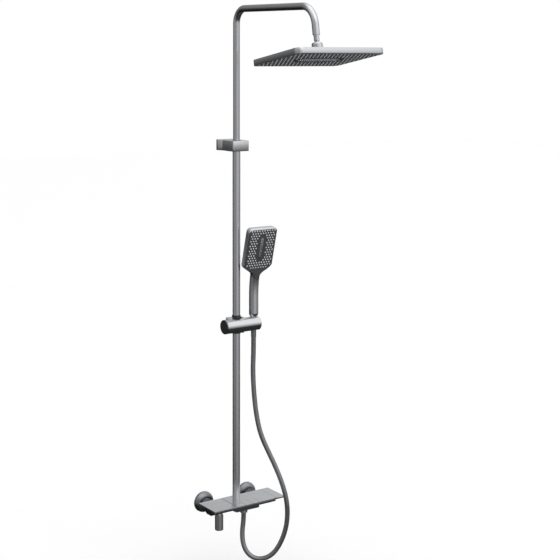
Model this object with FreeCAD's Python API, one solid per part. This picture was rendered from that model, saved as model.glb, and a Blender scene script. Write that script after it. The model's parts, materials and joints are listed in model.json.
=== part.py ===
import FreeCAD, Part
import math
import os

# Rainfall shower column: a wall mixer with a shelf and push keys, a telescopic riser
# with a sliding handset holder, and a rain head on a bent arm.
# Millimetres. +X to the right along the wall, +Y into the wall, +Z up.
# Origin: on the finished wall, midway between the two inlet axes.

V = FreeCAD.Vector
X_AXIS = V(1, 0, 0)
Y_AXIS = V(0, 1, 0)
Z_AXIS = V(0, 0, 1)

# ---- driving dimensions -------------------------------------------------------------
GAP = 0.3                   # between curved faces of pieces that move apart
FIT = 0.05                  # radial, between a piece and its seat or running bore
HAIR = 0.01                 # flat left between two end arcs, so that they stay separate edges

INLET_SPACING = 150.0       # standard distance between hot and cold inlets
INLET_THREAD_R = 10.4       # G1/2 male thread that screws into the wall
INLET_THREAD_LENGTH = 15.0
UNION_R = 13.0              # G3/4 end that the union nut screws on
UNION_LENGTH = 30.0
UNION_BORE_R = 7.5
ESCUTCHEON_R = 31.0
ESCUTCHEON_DEPTH = 17.0
ESCUTCHEON_WALL = 1.2
NUT_FLATS = 30.0
NUT_START = 19.0            # distance of the nut's wall side from the wall
NUT_END = 44.7
ESCUTCHEON_LIP = 3.0        # straight rim of the wall cover before its dome
ESCUTCHEON_LAND_R = 18.0    # flat ring round the union
ESCUTCHEON_STEPS = 10
TAIL_R = 10.4
TAIL_FLANGE_R = 12.7
TAIL_FLANGE = 3.0
WASHER = 2.0
CHECK_VALVE_R = 7.9
CHECK_VALVE_LENGTH = 12.0
CHECK_VALVE_WALL = 1.5
CHECK_VALVE_STEM_R = 1.2
STRAINER_DISH = 0.6

RISER_OUT = 64.0            # riser axis in front of the wall
BAR_DEPTH = 38.0            # valve body, front to back
BAR_OVERHANG_LEFT = 20.0    # beyond the left inlet
BAR_OVERHANG_RIGHT = 16.5
BAR_TOP = 14.0
BAR_BOTTOM = -18.0
BAR_ROUND = 9.0
BAR_EDGE = 0.5
WATERWAY_R = 6.0
WATERWAY_Z = -9.0
INLET_BORE = 32.0           # depth of the two inlet bores in the body
CHEST_LEFT = 52.0           # valve chest under the keys
CHEST_RIGHT = 46.0
CHEST_FRONT = 116.0
CHEST_TOP = 10.5
CHEST_BOTTOM = -8.0
CHEST_SLOPE_X = 19.0
CHEST_SLOPE_Z = 11.0
SIDE_BOTTOM = -1.0

SHELF_LEFT = 121.5
SHELF_RIGHT = 121.0
SHELF_BEHIND_RISER = 2.0    # metal left between the riser's hole and the back edge
SHELF_FRONT = 139.0
SHELF_THICK = 5.0
SHELF_CORNER = 3.0
TRAY_DEPTH = 0.8
TRAY_RIM = 3.0
SHELF_STUD_R = 1.5
SHELF_STUD_GRIP = 6.0       # length of the stud in the body
SHELF_STUD_ROOF = 2.0       # metal left above the stud

KEY_COUNT = 3
KEY_PITCH = 25.0
KEY_FIRST = -41.0           # left edge of the first key
KEY_DEPTH = 38.0
KEY_GAP = 0.6
KEY_TRAVEL = 3.0
CARTRIDGE_R = 10.3
CARTRIDGE_HEIGHT = 15.0
CARTRIDGE_OUT = 101.0       # cartridge axes in front of the wall
CARTRIDGE_WALL = 1.0
CARTRIDGE_TOP = 1.0         # below the top of the chest
CARTRIDGE_FLOOR = 4.5
PLUNGER_R = 4.0
PISTON_R = 6.7
PISTON_THICK = 2.0
PORT_R = 2.0
KEY_SPRING_R = 5.4
KEY_SPRING_WIRE = 1.2

LEVER_GAP = 0.5             # between the body and the temperature lever
LEVER_HUB = 13.0            # length of the lever's hub
LEVER_AXIS_Z = -2.0
THERMOSTAT_R = 14.0
THERMOSTAT_LENGTH = 46.0
SPINDLE_R = 5.0
SPINDLE_LENGTH = 25.0
RING_NUT_LENGTH = 5.0
RING_NUT_R = 15.5
SPINDLE_INSIDE = 11.5       # length of the spindle inside the cartridge
CARTRIDGE_GROOVE = 9.0

SPOUT_X = -60.0
SPOUT_R = 12.3
SPOUT_TOP = -24.5
SPOUT_LENGTH = 46.5
SPOUT_NECK_R = 9.0
SPOUT_NECK = 6.0            # length of the neck inside the body
SPOUT_EDGE = 1.5
SPOUT_BORE_R = 6.0
AERATOR_WALL = 1.6
AERATOR_MESH = 2.0
AERATOR_R = 10.4
AERATOR_LENGTH = 12.0

OUTLET_X = 26.0             # hose outlet under the valve body
NIPPLE_R = 8.0
NIPPLE_THREAD_R = 8.8
NIPPLE_INSIDE = 8.0
NIPPLE_FLANGE = 3.0
NIPPLE_THREAD = 8.0

LOWER_TUBE_R = 11.0
LOWER_TUBE_WALL = 1.2
LOWER_TUBE_BOTTOM = 2.0
SEAL_LENGTH = 2.4
SEAL_CLEARANCE = 0.8        # round the seal, inside the tube
SEAL_WIDTH = 2.4
UPPER_TUBE_WALL = 1.0
UPPER_TUBE_BOTTOM = 850.0

BRACKET_Z = 1047.0
BRACKET_HALF_WIDTH = 26.8
BRACKET_HEIGHT = 29.4
BRACKET_FRONT = 87.5
BRACKET_EDGE = 2.5
FLANGE_HALF_WIDTH = 33.0
FLANGE_DEPTH = 31.0
FLANGE_WALL = 5.0
FLANGE_GROOVE = 3.0         # shadow gap round the wall side of the flange
FLANGE_PAD = 26.0           # half width of the pad that meets the wall
WALL_SCREW_SPACING = 17.0   # one above the other
WALL_SCREW_R = 2.4          # over the thread
WALL_SCREW_NECK_R = 2.1
WALL_SCREW_HEAD_R = 4.6
WALL_SCREW_HEAD = 3.0
WALL_SCREW_LENGTH = 30.0
GLAND_WALL = 3.3
GLAND_LENGTH = 4.0

ARM_Z = 1421.0
ARM_REAR_BEND = 40.0
ARM_FRONT_BEND = 55.0
HEAD_TILT = 9.7             # degrees, front edge up
HEAD_OUT = 441.5            # centre of the spray face in front of the wall
HEAD_DROP = 134.3           # from the arm's level run down to the centre of the spray face
HEAD_Z = ARM_Z - HEAD_DROP
HEAD_WIDTH = 272.0
HEAD_DEPTH = 206.0
HEAD_THICK = 15.0
HEAD_CORNER = 17.0
HEAD_WALL = 1.5
NOZZLE_PLATE = 2.5
NOZZLE_PLATE_INSET = 1.5
HEAD_GASKET_WIDTH = 4.0
HEAD_GASKET = 1.5
STEM_END = 63.0             # distance along the stem axis from spray face to tube end
BALL_CENTRE = 36.0
BALL_R = 10.0
BALL_STEM_R = 5.5
BALL_NUT_START = 48.0
BALL_NUT_R = 7.2
BALL_THREAD = 10.0
SEAT_WALL = 1.0
SEAT_NEAR = 3.2             # seat rings lie between these heights from the ball centre
SEAT_FAR = 6.5
COLLAR_R = 14.3
COLLAR_TOP = 8.0            # above the ball centre
COLLAR_ROUND = 4.0
COLLAR_MOUTH_R = 9.8
COLLAR_MOUTH = 4.0
HEAD_INLET_R = 5.0
BALL_BORE_R = 3.0

SLIDER_Z = 534.0
SLIDER_OUT = 70.0
SLIDER_R = 20.6
SLIDER_LEFT = 46.0
SLIDER_RIGHT = 69.8
SLIDER_CAP = 3.0
BUSH_WALL = 2.4
BUSH_BELOW = 23.0
BUSH_ABOVE = 21.0
BUSH_COLLAR = 9.0
BUSH_COLLAR_WALL = 3.0
BUTTON_X = -28.0
BUTTON_R = 10.0
BUTTON_TOP = 26.5           # above the slider axis
BUTTON_LENGTH = 14.0
BUTTON_POCKET = 5.0         # pocket floor above the slider axis
BUTTON_SPRING_R = 6.0
BUTTON_SPRING_WIRE = 1.4
SHOE_DEPTH = 8.0
SHOE_HALF_WIDTH = 5.0
SHOE_TOP = 3.0
SHOE_BOTTOM = -6.0
LAND_R = 30.0
LAND_Z = 18.0

HANDSET_X = 55.5
SOCKET_TOP_WALL = 4.8       # of metal and sleeve round the hose, at the socket's mouth
SOCKET_BOTTOM_WALL = 3.3
CONE_LENGTH = 36.0
HANDLE_R = 13.6
HANDLE_TIP_R = 9.8
HANDLE_TIP = 9.0
HANDLE_LENGTH = 140.0
HANDSET_TILT = 14.4         # degrees, top of the head leaning forward
FACE_WIDTH = 96.0
FACE_HEIGHT = 118.0
FACE_CORNER_TOP = 12.0
FACE_CORNER_LOW = 18.0
FACE_Z = 758.5
FACE_OUT = 107.0
FACE_THICK = 3.0
HANDSET_THICK = 20.0
HANDSET_WALL = 2.0
HANDSET_SIDE = 6.0          # solid rim round the hollow head
HANDSET_SEAM = 1.0          # visible metal rim round the spray face
SHOULDER_DROP = 16.0
SHOULDER_INSET = 4.0
HANDLE_BORE_R = 8.6
FEED_R = 8.4
FEED_BORE_R = 4.0
FEED_START = 14.0           # above the handle's lower end
ELBOW_R = 4.0
ELBOW_BORE_R = 2.5
ELBOW_DROP = 40.0           # below the face centre, where the elbow meets the distributor
PLATE_FRONT = 4.5           # distributor plate, distances behind the face
PLATE_BACK = 7.0
TONGUE_HALF = 10.0
TONGUE_REACH = 100.0
INSERT_WIDTH = 13.0
INSERT_HEIGHT = 60.0
MODE_WIDTH = 14.0
MODE_HEIGHT = 30.0
MODE_CENTRE = 82.0          # below the face centre
MODE_PROUD = 0.6
MODE_TRAVEL = 2.0
INSERT_PROUD = 0.3

HOSE_R = 7.0
HOSE_BORE_R = 4.0
HOSE_BEND_SHARE = 0.45      # of the shorter run beside a bend that its arc takes up
HOSE_NUT_WALL = 4.6
HOSE_NUT_LENGTH = 13.0
SLEEVE_WALL = 0.4
SLEEVE_LENGTH = 52.0
CONE_DROP = 1.0             # cone top below the handle
CONE_CUP = 0.5
CONE_SPIGOT = 12.0
CONE_BORE_R = 3.5
CONE_ROOF = 6.0             # solid metal above the hose's end

# ---- positions worked out from them ---------------------------------------------------
INLET_X = INLET_SPACING / 2
BAR_LEFT = INLET_X + BAR_OVERHANG_LEFT
BAR_RIGHT = INLET_X + BAR_OVERHANG_RIGHT
LEVER_LEFT = BAR_RIGHT + LEVER_GAP
LEVER_HUB_RIGHT = LEVER_LEFT + LEVER_HUB
SHELF_BACK = RISER_OUT - LOWER_TUBE_R - SHELF_BEHIND_RISER
UPPER_TUBE_R = LOWER_TUBE_R - LOWER_TUBE_WALL - GAP
SEAL_R = LOWER_TUBE_R - LOWER_TUBE_WALL - SEAL_CLEARANCE
SEAL_BORE_R = SEAL_R - SEAL_WIDTH
GLAND_R = UPPER_TUBE_R + GLAND_WALL
BUSH_COLLAR_R = LOWER_TUBE_R + BUSH_COLLAR_WALL
SOCKET_TOP_R = HOSE_R + SOCKET_TOP_WALL
SOCKET_BOTTOM_R = HOSE_R + SOCKET_BOTTOM_WALL
HOSE_NUT_R = HOSE_R + HOSE_NUT_WALL
RISER_Y = -RISER_OUT
BAR_BACK_Y = RISER_Y + BAR_DEPTH / 2
BAR_FRONT_Y = RISER_Y - BAR_DEPTH / 2
SHELF_TOP = BAR_TOP + SHELF_THICK
KEY_LAST = KEY_FIRST + KEY_COUNT * KEY_PITCH
KEY_BACK_Y = -SHELF_FRONT + KEY_DEPTH
PISTON_HEIGHT = CARTRIDGE_FLOOR + KEY_TRAVEL + 2.0      # of its lower side, above the cartridge's end
NIPPLE_END = BAR_BOTTOM - NIPPLE_FLANGE - NIPPLE_THREAD
HOSE_START = NIPPLE_END - 1.0
BRACKET_TOP = BRACKET_Z + BRACKET_HEIGHT / 2
BRACKET_BOTTOM = BRACKET_Z - BRACKET_HEIGHT / 2
LOWER_TUBE_TOP = BRACKET_TOP - GLAND_LENGTH - 2 * GAP
HANDLE_BOTTOM = SLIDER_Z + LAND_Z + 1.0
SOCKET_FLOOR = SLIDER_Z - SLIDER_R


# ---- helpers --------------------------------------------------------------------------
def aimed(shape, base, direction):
    """Turn a shape built on +Z at the origin towards a direction and move it to a base."""
    shape.Placement = FreeCAD.Placement(base, FreeCAD.Rotation(Z_AXIS, direction))
    return shape


def cylinder(radius, length, base, direction=Z_AXIS):
    return Part.makeCylinder(radius, length, base, direction)


def tube(outer, inner, length, base, direction=Z_AXIS):
    return cylinder(outer, length, base, direction).cut(cylinder(inner, length, base, direction))


def cone(start_radius, end_radius, length, base, direction=Z_AXIS):
    return Part.makeCone(start_radius, end_radius, length, base, direction)


def block(x0, x1, y0, y1, z0, z1):
    return Part.makeBox(x1 - x0, y1 - y0, z1 - z0, V(x0, y0, z0))


def turned(points, base, direction=Z_AXIS):
    """Solid of revolution of a closed outline of (radius, distance) points."""
    wire = Part.makePolygon([V(r, 0, s) for r, s in points] + [V(points[0][0], 0, points[0][1])])
    return aimed(Part.Face(wire).revolve(V(0, 0, 0), Z_AXIS, 360), base, direction)


def rounded_outline(x0, x1, y0, y1, low_radius, high_radius):
    """Rectangle in the XY plane with two radii: at its low-Y and its high-Y corners."""
    edges = []
    corners = [
        (x0 + low_radius, y0 + low_radius, low_radius, 180),
        (x1 - low_radius, y0 + low_radius, low_radius, 270),
        (x1 - high_radius, y1 - high_radius, high_radius, 0),
        (x0 + high_radius, y1 - high_radius, high_radius, 90),
    ]
    ends = []
    for cx, cy, radius, start in corners:
        first, middle, last = [
            V(cx + radius * math.cos(a), cy + radius * math.sin(a), 0)
            for a in (math.radians(start), math.radians(start + 45), math.radians(start + 90))
        ]
        ends.append((first, last))
        edges.append(Part.Arc(first, middle, last).toShape())
    joined = []
    for index, edge in enumerate(edges):
        joined.append(edge)
        gap_start = ends[index][1]
        gap_end = ends[(index + 1) % 4][0]
        if gap_start.distanceToPoint(gap_end) > 1e-6:
            joined.append(Part.LineSegment(gap_start, gap_end).toShape())
    return Part.Wire(joined)


def rounded_plate(x0, x1, y0, y1, z0, z1, radius):
    plate = Part.Face(rounded_outline(x0, x1, y0, y1, radius, radius)).extrude(V(0, 0, z1 - z0))
    plate.translate(V(0, 0, z0))
    return plate


def bar_section(x0, x1):
    """The valve body's section, flat on top and rounded below, between two X values."""
    outline = rounded_outline(BAR_FRONT_Y, BAR_BACK_Y, BAR_BOTTOM, BAR_TOP, BAR_ROUND, BAR_EDGE)
    solid = Part.Face(outline).extrude(V(0, 0, x1 - x0))
    solid.Placement = FreeCAD.Placement(V(x0, 0, 0), FreeCAD.Rotation(V(1, 1, 1), 120))
    return solid


def hexagon(flats, length, base, direction):
    """Hexagonal bar with two flats facing sideways."""
    corner = flats / math.sqrt(3)
    points = []
    for step in range(7):
        angle = math.radians(30 + 60 * step)
        points.append(V(corner * math.cos(angle), corner * math.sin(angle), 0))
    solid = Part.Face(Part.makePolygon(points)).extrude(V(0, 0, length))
    return aimed(solid, base, direction)


def save(name, shape):
    shape = shape.removeSplitter()
    shape.exportStep("parts/" + name + ".step")
    print("%-24s solids %d  valid %s  volume %.1f" % (name, len(shape.Solids), shape.isValid(), shape.Volume))
    return shape


# ---- inlets -------------------------------------------------------------------------
def inlet_union(x):
    body = cylinder(INLET_THREAD_R, INLET_THREAD_LENGTH, V(x, 0, 0), Y_AXIS)
    body = body.fuse(cylinder(UNION_R, UNION_LENGTH, V(x, 0, 0), -Y_AXIS))
    length = INLET_THREAD_LENGTH + UNION_LENGTH
    return body.cut(cylinder(UNION_BORE_R, length, V(x, INLET_THREAD_LENGTH, 0), -Y_AXIS))


def dome_points(rim, depth):
    """Quarter ellipse of (radius, depth) points from the rim in to the flat land."""
    points = []
    for step in range(ESCUTCHEON_STEPS + 1):
        angle = math.radians(90 * step / ESCUTCHEON_STEPS)
        points.append((
            ESCUTCHEON_LAND_R + (rim - ESCUTCHEON_LAND_R) * math.cos(angle),
            ESCUTCHEON_LIP + (depth - ESCUTCHEON_LIP) * math.sin(angle),
        ))
    return points


def escutcheon(x):
    """Domed wall cover: a shell that slides over the union."""
    bore = UNION_R + FIT
    wall = ESCUTCHEON_WALL
    outer = dome_points(ESCUTCHEON_R, ESCUTCHEON_DEPTH)
    inner = dome_points(ESCUTCHEON_R - wall, ESCUTCHEON_DEPTH - wall)
    outline = [(ESCUTCHEON_R, 0)] + outer + [(bore, ESCUTCHEON_DEPTH)]
    outline += [(bore, ESCUTCHEON_DEPTH - wall)] + inner[::-1] + [(ESCUTCHEON_R - wall, 0)]
    return turned(outline, V(x, 0, 0), -Y_AXIS)


def union_nut(x):
    nut = hexagon(NUT_FLATS, NUT_END - NUT_START, V(x, -NUT_START, 0), -Y_AXIS)
    flange_end = UNION_LENGTH + WASHER + TAIL_FLANGE
    nut = nut.cut(cylinder(UNION_R + FIT, flange_end - NUT_START + FIT, V(x, -NUT_START, 0), -Y_AXIS))
    return nut.cut(cylinder(TAIL_R + FIT, NUT_END, V(x, -NUT_START, 0), -Y_AXIS))


def inlet_strainer(x):
    washer = tube(TAIL_FLANGE_R, UNION_BORE_R - 1.0, WASHER, V(x, -UNION_LENGTH, 0), -Y_AXIS)
    dish = cylinder(UNION_BORE_R - 1.0, STRAINER_DISH, V(x, -UNION_LENGTH - STRAINER_DISH, 0), -Y_AXIS)
    return washer.fuse(dish)


def check_valve(x):
    start = V(x, -UNION_LENGTH - WASHER - GAP, 0)
    inner = CHECK_VALVE_R - CHECK_VALVE_WALL
    quarter = CHECK_VALVE_LENGTH / 4
    shell = tube(CHECK_VALVE_R, inner, CHECK_VALVE_LENGTH, start, -Y_AXIS)
    spider_y = start.y - quarter
    half_bar = CHECK_VALVE_STEM_R
    spider = block(x - inner - GAP, x + inner + GAP, spider_y - half_bar, spider_y, -half_bar, half_bar)
    guide = cylinder(CHECK_VALVE_STEM_R, 2 * quarter, V(x, spider_y, 0), -Y_AXIS)
    disc = cylinder(inner - 2 * GAP, CHECK_VALVE_WALL, V(x, spider_y - quarter, 0), -Y_AXIS)
    return shell.fuse(spider).fuse(guide).fuse(disc)


# ---- mixer ----------------------------------------------------------------------------
def key_centre(index):
    return KEY_FIRST + KEY_PITCH * (index + 0.5)


def valve_chest():
    """Front block under the keys, with its lower left corner sloped."""
    points = [
        V(-CHEST_LEFT, 0, CHEST_BOTTOM + CHEST_SLOPE_Z),
        V(-CHEST_LEFT + CHEST_SLOPE_X, 0, CHEST_BOTTOM),
        V(CHEST_RIGHT, 0, CHEST_BOTTOM),
        V(CHEST_RIGHT, 0, CHEST_TOP),
        V(-CHEST_LEFT, 0, CHEST_TOP),
    ]
    outline = Part.makePolygon(points + [points[0]])
    chest = Part.Face(outline).extrude(V(0, CHEST_FRONT + BAR_FRONT_Y + 1, 0))
    chest.translate(V(0, -CHEST_FRONT, 0))
    return chest


def mixer_body():
    body = bar_section(-BAR_LEFT, BAR_RIGHT)
    body = body.fuse(valve_chest())
    side = block(CHEST_RIGHT - 1, BAR_RIGHT, -CHEST_FRONT, BAR_FRONT_Y + 1, SIDE_BOTTOM, BAR_TOP)
    body = body.fuse(side)
    flange_start = UNION_LENGTH + WASHER
    inlets = [V(side * INLET_X, -flange_start, 0) for side in (-1, 1)]
    for place in inlets:
        body = body.fuse(cylinder(TAIL_R, -BAR_BACK_Y - flange_start + 1, place, -Y_AXIS))
        body = body.fuse(cylinder(TAIL_FLANGE_R, TAIL_FLANGE, place, -Y_AXIS))
    for hollow in [cylinder(CHECK_VALVE_R + FIT, INLET_BORE, place, -Y_AXIS) for place in inlets]:
        body = body.cut(hollow)
    for hollow in body_hollows():
        body = body.cut(hollow)
    return body


def body_hollows():
    """Waterways, the cartridge bores and the threaded holes of the valve body."""
    lever_end = V(BAR_RIGHT, RISER_Y, LEVER_AXIS_Z)
    riser = V(0, RISER_Y, 0)
    outlet = V(OUTLET_X, RISER_Y, BAR_BOTTOM)
    spout = V(SPOUT_X, RISER_Y, BAR_BOTTOM)
    way = INLET_X + BAR_RIGHT - THERMOSTAT_LENGTH
    up = LOWER_TUBE_BOTTOM - WATERWAY_Z
    hollows = [
        cylinder(WATERWAY_R, way, V(-INLET_X, RISER_Y, WATERWAY_Z), X_AXIS),
        cylinder(THERMOSTAT_R + FIT, THERMOSTAT_LENGTH + RING_NUT_LENGTH, lever_end, -X_AXIS),
        cylinder(RING_NUT_R + FIT, RING_NUT_LENGTH, lever_end, -X_AXIS),
        cylinder(LOWER_TUBE_R + FIT, BAR_TOP, riser + V(0, 0, LOWER_TUBE_BOTTOM)),
        cylinder(SEAL_R - 1, up + 1, riser + V(0, 0, WATERWAY_Z)),
        cylinder(NIPPLE_R + FIT, NIPPLE_INSIDE + 1, outlet),
        cylinder(SPOUT_NECK_R + FIT, SPOUT_NECK + 1, spout),
        cylinder(SPOUT_BORE_R - 1, SPOUT_NECK, spout + V(0, 0, SPOUT_NECK)),
    ]
    for index in range(KEY_COUNT):
        floor = cartridge_place(index, -FIT)
        port = cartridge_place(index, CARTRIDGE_FLOOR / 2)
        hollows.append(cylinder(CARTRIDGE_R + FIT, CARTRIDGE_HEIGHT + 2, floor))
        hollows.append(cylinder(PORT_R, CARTRIDGE_OUT - RISER_OUT, port, Y_AXIS))
    hole_depth = SHELF_STUD_GRIP + 1
    for x, y in shelf_stud_places():
        hollows.append(cylinder(SHELF_STUD_R + FIT, hole_depth, V(x, y, BAR_TOP - hole_depth)))
    return hollows


def shelf_stud_places():
    front = -SHELF_FRONT + 32.0
    return [(-BAR_LEFT + 10.0, RISER_Y), (-30.0, RISER_Y), (30.0, RISER_Y + 10.0), (BAR_RIGHT - 7.5, front)]


def shelf_stud(x, y):
    """Threaded stud between the body and the underside of the shelf."""
    length = SHELF_STUD_GRIP + SHELF_THICK - SHELF_STUD_ROOF
    return cylinder(SHELF_STUD_R, length, V(x, y, BAR_TOP - SHELF_STUD_GRIP))


def shelf_plate():
    plate = rounded_plate(
        -SHELF_LEFT, SHELF_RIGHT, -SHELF_FRONT, -SHELF_BACK, BAR_TOP, SHELF_TOP, SHELF_CORNER)
    plate = plate.cut(block(BAR_RIGHT, SHELF_RIGHT + 1, -SHELF_FRONT - 1, -SHELF_BACK + 1, 0, SHELF_TOP + 1))
    keys = block(KEY_FIRST, KEY_LAST, -SHELF_FRONT - 1, KEY_BACK_Y, 0, SHELF_TOP + 1)
    plate = plate.cut(keys)
    plate = plate.cut(cylinder(LOWER_TUBE_R + FIT, 40, V(0, RISER_Y, 0)))
    tray = rounded_plate(
        -SHELF_LEFT + TRAY_RIM, KEY_FIRST - TRAY_RIM, -SHELF_FRONT + TRAY_RIM, -SHELF_BACK - TRAY_RIM,
        SHELF_TOP - TRAY_DEPTH, SHELF_TOP + 1, SHELF_CORNER / 2)
    plate = plate.cut(tray)
    for x, y in shelf_stud_places():
        hole_depth = SHELF_THICK - SHELF_STUD_ROOF + FIT
        plate = plate.cut(cylinder(SHELF_STUD_R + FIT, hole_depth, V(x, y, BAR_TOP)))
    return plate


def key(index):
    x0 = KEY_FIRST + KEY_PITCH * index + KEY_GAP / 2
    x1 = x0 + KEY_PITCH - KEY_GAP
    return block(x0, x1, -SHELF_FRONT, KEY_BACK_Y - KEY_GAP, BAR_TOP, SHELF_TOP)


def cartridge_place(index, height):
    """Point on a key cartridge's axis, at a height above the cartridge's lower end."""
    return V(key_centre(index), -CARTRIDGE_OUT, CHEST_TOP - CARTRIDGE_TOP - CARTRIDGE_HEIGHT + height)


def stop_cartridge(index):
    shell = cylinder(CARTRIDGE_R, CARTRIDGE_HEIGHT, cartridge_place(index, 0))
    hollow_height = CARTRIDGE_HEIGHT - CARTRIDGE_FLOOR - CARTRIDGE_WALL
    shell = shell.cut(cylinder(PISTON_R + GAP, hollow_height, cartridge_place(index, CARTRIDGE_FLOOR)))
    stem_hole = cylinder(PLUNGER_R + FIT, CARTRIDGE_HEIGHT, cartridge_place(index, CARTRIDGE_FLOOR))
    port = cylinder(PORT_R, CARTRIDGE_R, cartridge_place(index, CARTRIDGE_FLOOR / 2), Y_AXIS)
    well = cylinder(PORT_R, CARTRIDGE_FLOOR, cartridge_place(index, CARTRIDGE_FLOOR / 2))
    return shell.cut(stem_hole).cut(port).cut(well)


def plunger(index):
    low = cartridge_place(index, PISTON_HEIGHT)
    piston = cylinder(PISTON_R, PISTON_THICK, low)
    return piston.fuse(cylinder(PLUNGER_R, BAR_TOP - low.z, low))


def key_spring(index):
    length = PISTON_HEIGHT - CARTRIDGE_FLOOR
    inner = KEY_SPRING_R - KEY_SPRING_WIRE
    return tube(KEY_SPRING_R, inner, length, cartridge_place(index, CARTRIDGE_FLOOR))


def thermostat_cartridge():
    start = V(BAR_RIGHT - THERMOSTAT_LENGTH - RING_NUT_LENGTH, RISER_Y, LEVER_AXIS_Z)
    body = cylinder(THERMOSTAT_R, THERMOSTAT_LENGTH, start, X_AXIS)
    groove_start = start + V(CARTRIDGE_GROOVE, 0, 0)
    groove = tube(THERMOSTAT_R + 1, THERMOSTAT_R - 3, CARTRIDGE_GROOVE, groove_start, X_AXIS)
    hole_start = start + V(THERMOSTAT_LENGTH - SPINDLE_INSIDE - GAP, 0, 0)
    hole = cylinder(SPINDLE_R + FIT, SPINDLE_LENGTH, hole_start, X_AXIS)
    return body.cut(groove).cut(hole)


def cartridge_nut():
    start = V(BAR_RIGHT - RING_NUT_LENGTH, RISER_Y, LEVER_AXIS_Z)
    return tube(RING_NUT_R, SPINDLE_R + 2.0, RING_NUT_LENGTH, start, X_AXIS)


def thermostat_spindle():
    start = V(BAR_RIGHT - RING_NUT_LENGTH - SPINDLE_INSIDE, RISER_Y, LEVER_AXIS_Z)
    return cylinder(SPINDLE_R, SPINDLE_LENGTH, start, X_AXIS)


def temperature_lever():
    """Right end of the shelf: plate, grip web and hub that turn about the cartridge axis."""
    plate_left = LEVER_LEFT - SHELF_CORNER - 1
    plate = rounded_plate(
        plate_left, SHELF_RIGHT, -SHELF_FRONT, -SHELF_BACK, BAR_TOP, SHELF_TOP, SHELF_CORNER)
    plate = plate.cut(block(0, LEVER_LEFT, -SHELF_FRONT - 1, 0, BAR_TOP - 1, SHELF_TOP + 1))
    web = block(LEVER_LEFT, LEVER_HUB_RIGHT, -CHEST_FRONT, BAR_FRONT_Y + 1, SIDE_BOTTOM, BAR_TOP)
    hub = bar_section(LEVER_LEFT, LEVER_HUB_RIGHT)
    lever = plate.fuse(web).fuse(hub)
    return lever.cut(thermostat_spindle())


def spout_nozzle():
    top = V(SPOUT_X, RISER_Y, SPOUT_TOP)
    low = V(SPOUT_X, RISER_Y, SPOUT_TOP - SPOUT_LENGTH)
    neck = BAR_BOTTOM + SPOUT_NECK - SPOUT_TOP
    body = cylinder(SPOUT_R, SPOUT_LENGTH - SPOUT_EDGE, low + V(0, 0, SPOUT_EDGE))
    body = body.fuse(cone(SPOUT_R - SPOUT_EDGE, SPOUT_R, SPOUT_EDGE, low))
    body = body.fuse(cylinder(SPOUT_NECK_R, neck, top))
    body = body.cut(cylinder(SPOUT_BORE_R, SPOUT_LENGTH + neck, low))
    return body.cut(cylinder(AERATOR_R + FIT, AERATOR_LENGTH, low))


def spout_aerator():
    low = V(SPOUT_X, RISER_Y, SPOUT_TOP - SPOUT_LENGTH + GAP)
    length = AERATOR_LENGTH - GAP
    ring = tube(AERATOR_R, AERATOR_R - AERATOR_WALL, length, low)
    mesh_place = low + V(0, 0, length - AERATOR_MESH)
    return ring.fuse(tube(AERATOR_R - AERATOR_WALL / 2, 1.0, AERATOR_MESH, mesh_place))


def hose_outlet():
    body = cylinder(NIPPLE_R, NIPPLE_INSIDE, V(OUTLET_X, RISER_Y, BAR_BOTTOM))
    body = body.fuse(cylinder(HOSE_NUT_R, NIPPLE_FLANGE, V(OUTLET_X, RISER_Y, BAR_BOTTOM - NIPPLE_FLANGE)))
    body = body.fuse(cylinder(NIPPLE_THREAD_R, NIPPLE_THREAD, V(OUTLET_X, RISER_Y, NIPPLE_END)))
    return body.cut(cylinder(HOSE_BORE_R, BAR_TOP - NIPPLE_END, V(OUTLET_X, RISER_Y, NIPPLE_END)))


def hose_nut_lower():
    top = BAR_BOTTOM - NIPPLE_FLANGE - GAP
    low = V(OUTLET_X, RISER_Y, top - HOSE_NUT_LENGTH)
    nut = cylinder(HOSE_NUT_R - GAP, HOSE_NUT_LENGTH, low)
    thread = cylinder(NIPPLE_THREAD_R + FIT, top - NIPPLE_END, V(OUTLET_X, RISER_Y, NIPPLE_END))
    hose_hole = cylinder(HOSE_R + FIT, HOSE_NUT_LENGTH, low)
    return nut.cut(thread).cut(hose_hole)


# ---- riser, bracket and arm --------------------------------------------------------------
def riser_seal():
    return tube(SEAL_R, SEAL_BORE_R, SEAL_LENGTH, V(0, RISER_Y, LOWER_TUBE_BOTTOM))


def lower_riser():
    length = LOWER_TUBE_TOP - LOWER_TUBE_BOTTOM
    return tube(LOWER_TUBE_R, LOWER_TUBE_R - LOWER_TUBE_WALL, length, V(0, RISER_Y, LOWER_TUBE_BOTTOM))


def flange_outline():
    """Stadium in plan, seen from above, with its back on the wall."""
    radius = FLANGE_DEPTH / 2 - HAIR
    return Part.Face(rounded_outline(-FLANGE_HALF_WIDTH, FLANGE_HALF_WIDTH, -FLANGE_DEPTH, 0, radius, radius))


def wall_screw_places():
    return [V(0, 0, BRACKET_Z + side * WALL_SCREW_SPACING / 2) for side in (-1, 1)]


def wall_flange():
    """Stadium block with a shadow gap at the wall and a pocket for each screw head."""
    flange = flange_outline().extrude(V(0, 0, BRACKET_HEIGHT))
    flange.translate(V(0, 0, BRACKET_BOTTOM))
    for side in (-1, 1):
        x0, x1 = sorted((side * FLANGE_PAD, side * FLANGE_HALF_WIDTH))
        flange = flange.cut(block(x0, x1, -FLANGE_GROOVE, 0, BRACKET_BOTTOM, BRACKET_TOP))
    pocket = FLANGE_DEPTH - FLANGE_WALL
    for place in wall_screw_places():
        front = place - V(0, FLANGE_DEPTH, 0)
        flange = flange.cut(cylinder(WALL_SCREW_HEAD_R + 2 * GAP, pocket, front, Y_AXIS))
        flange = flange.cut(cylinder(WALL_SCREW_R + GAP, FLANGE_DEPTH, front, Y_AXIS))
    return flange


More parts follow.
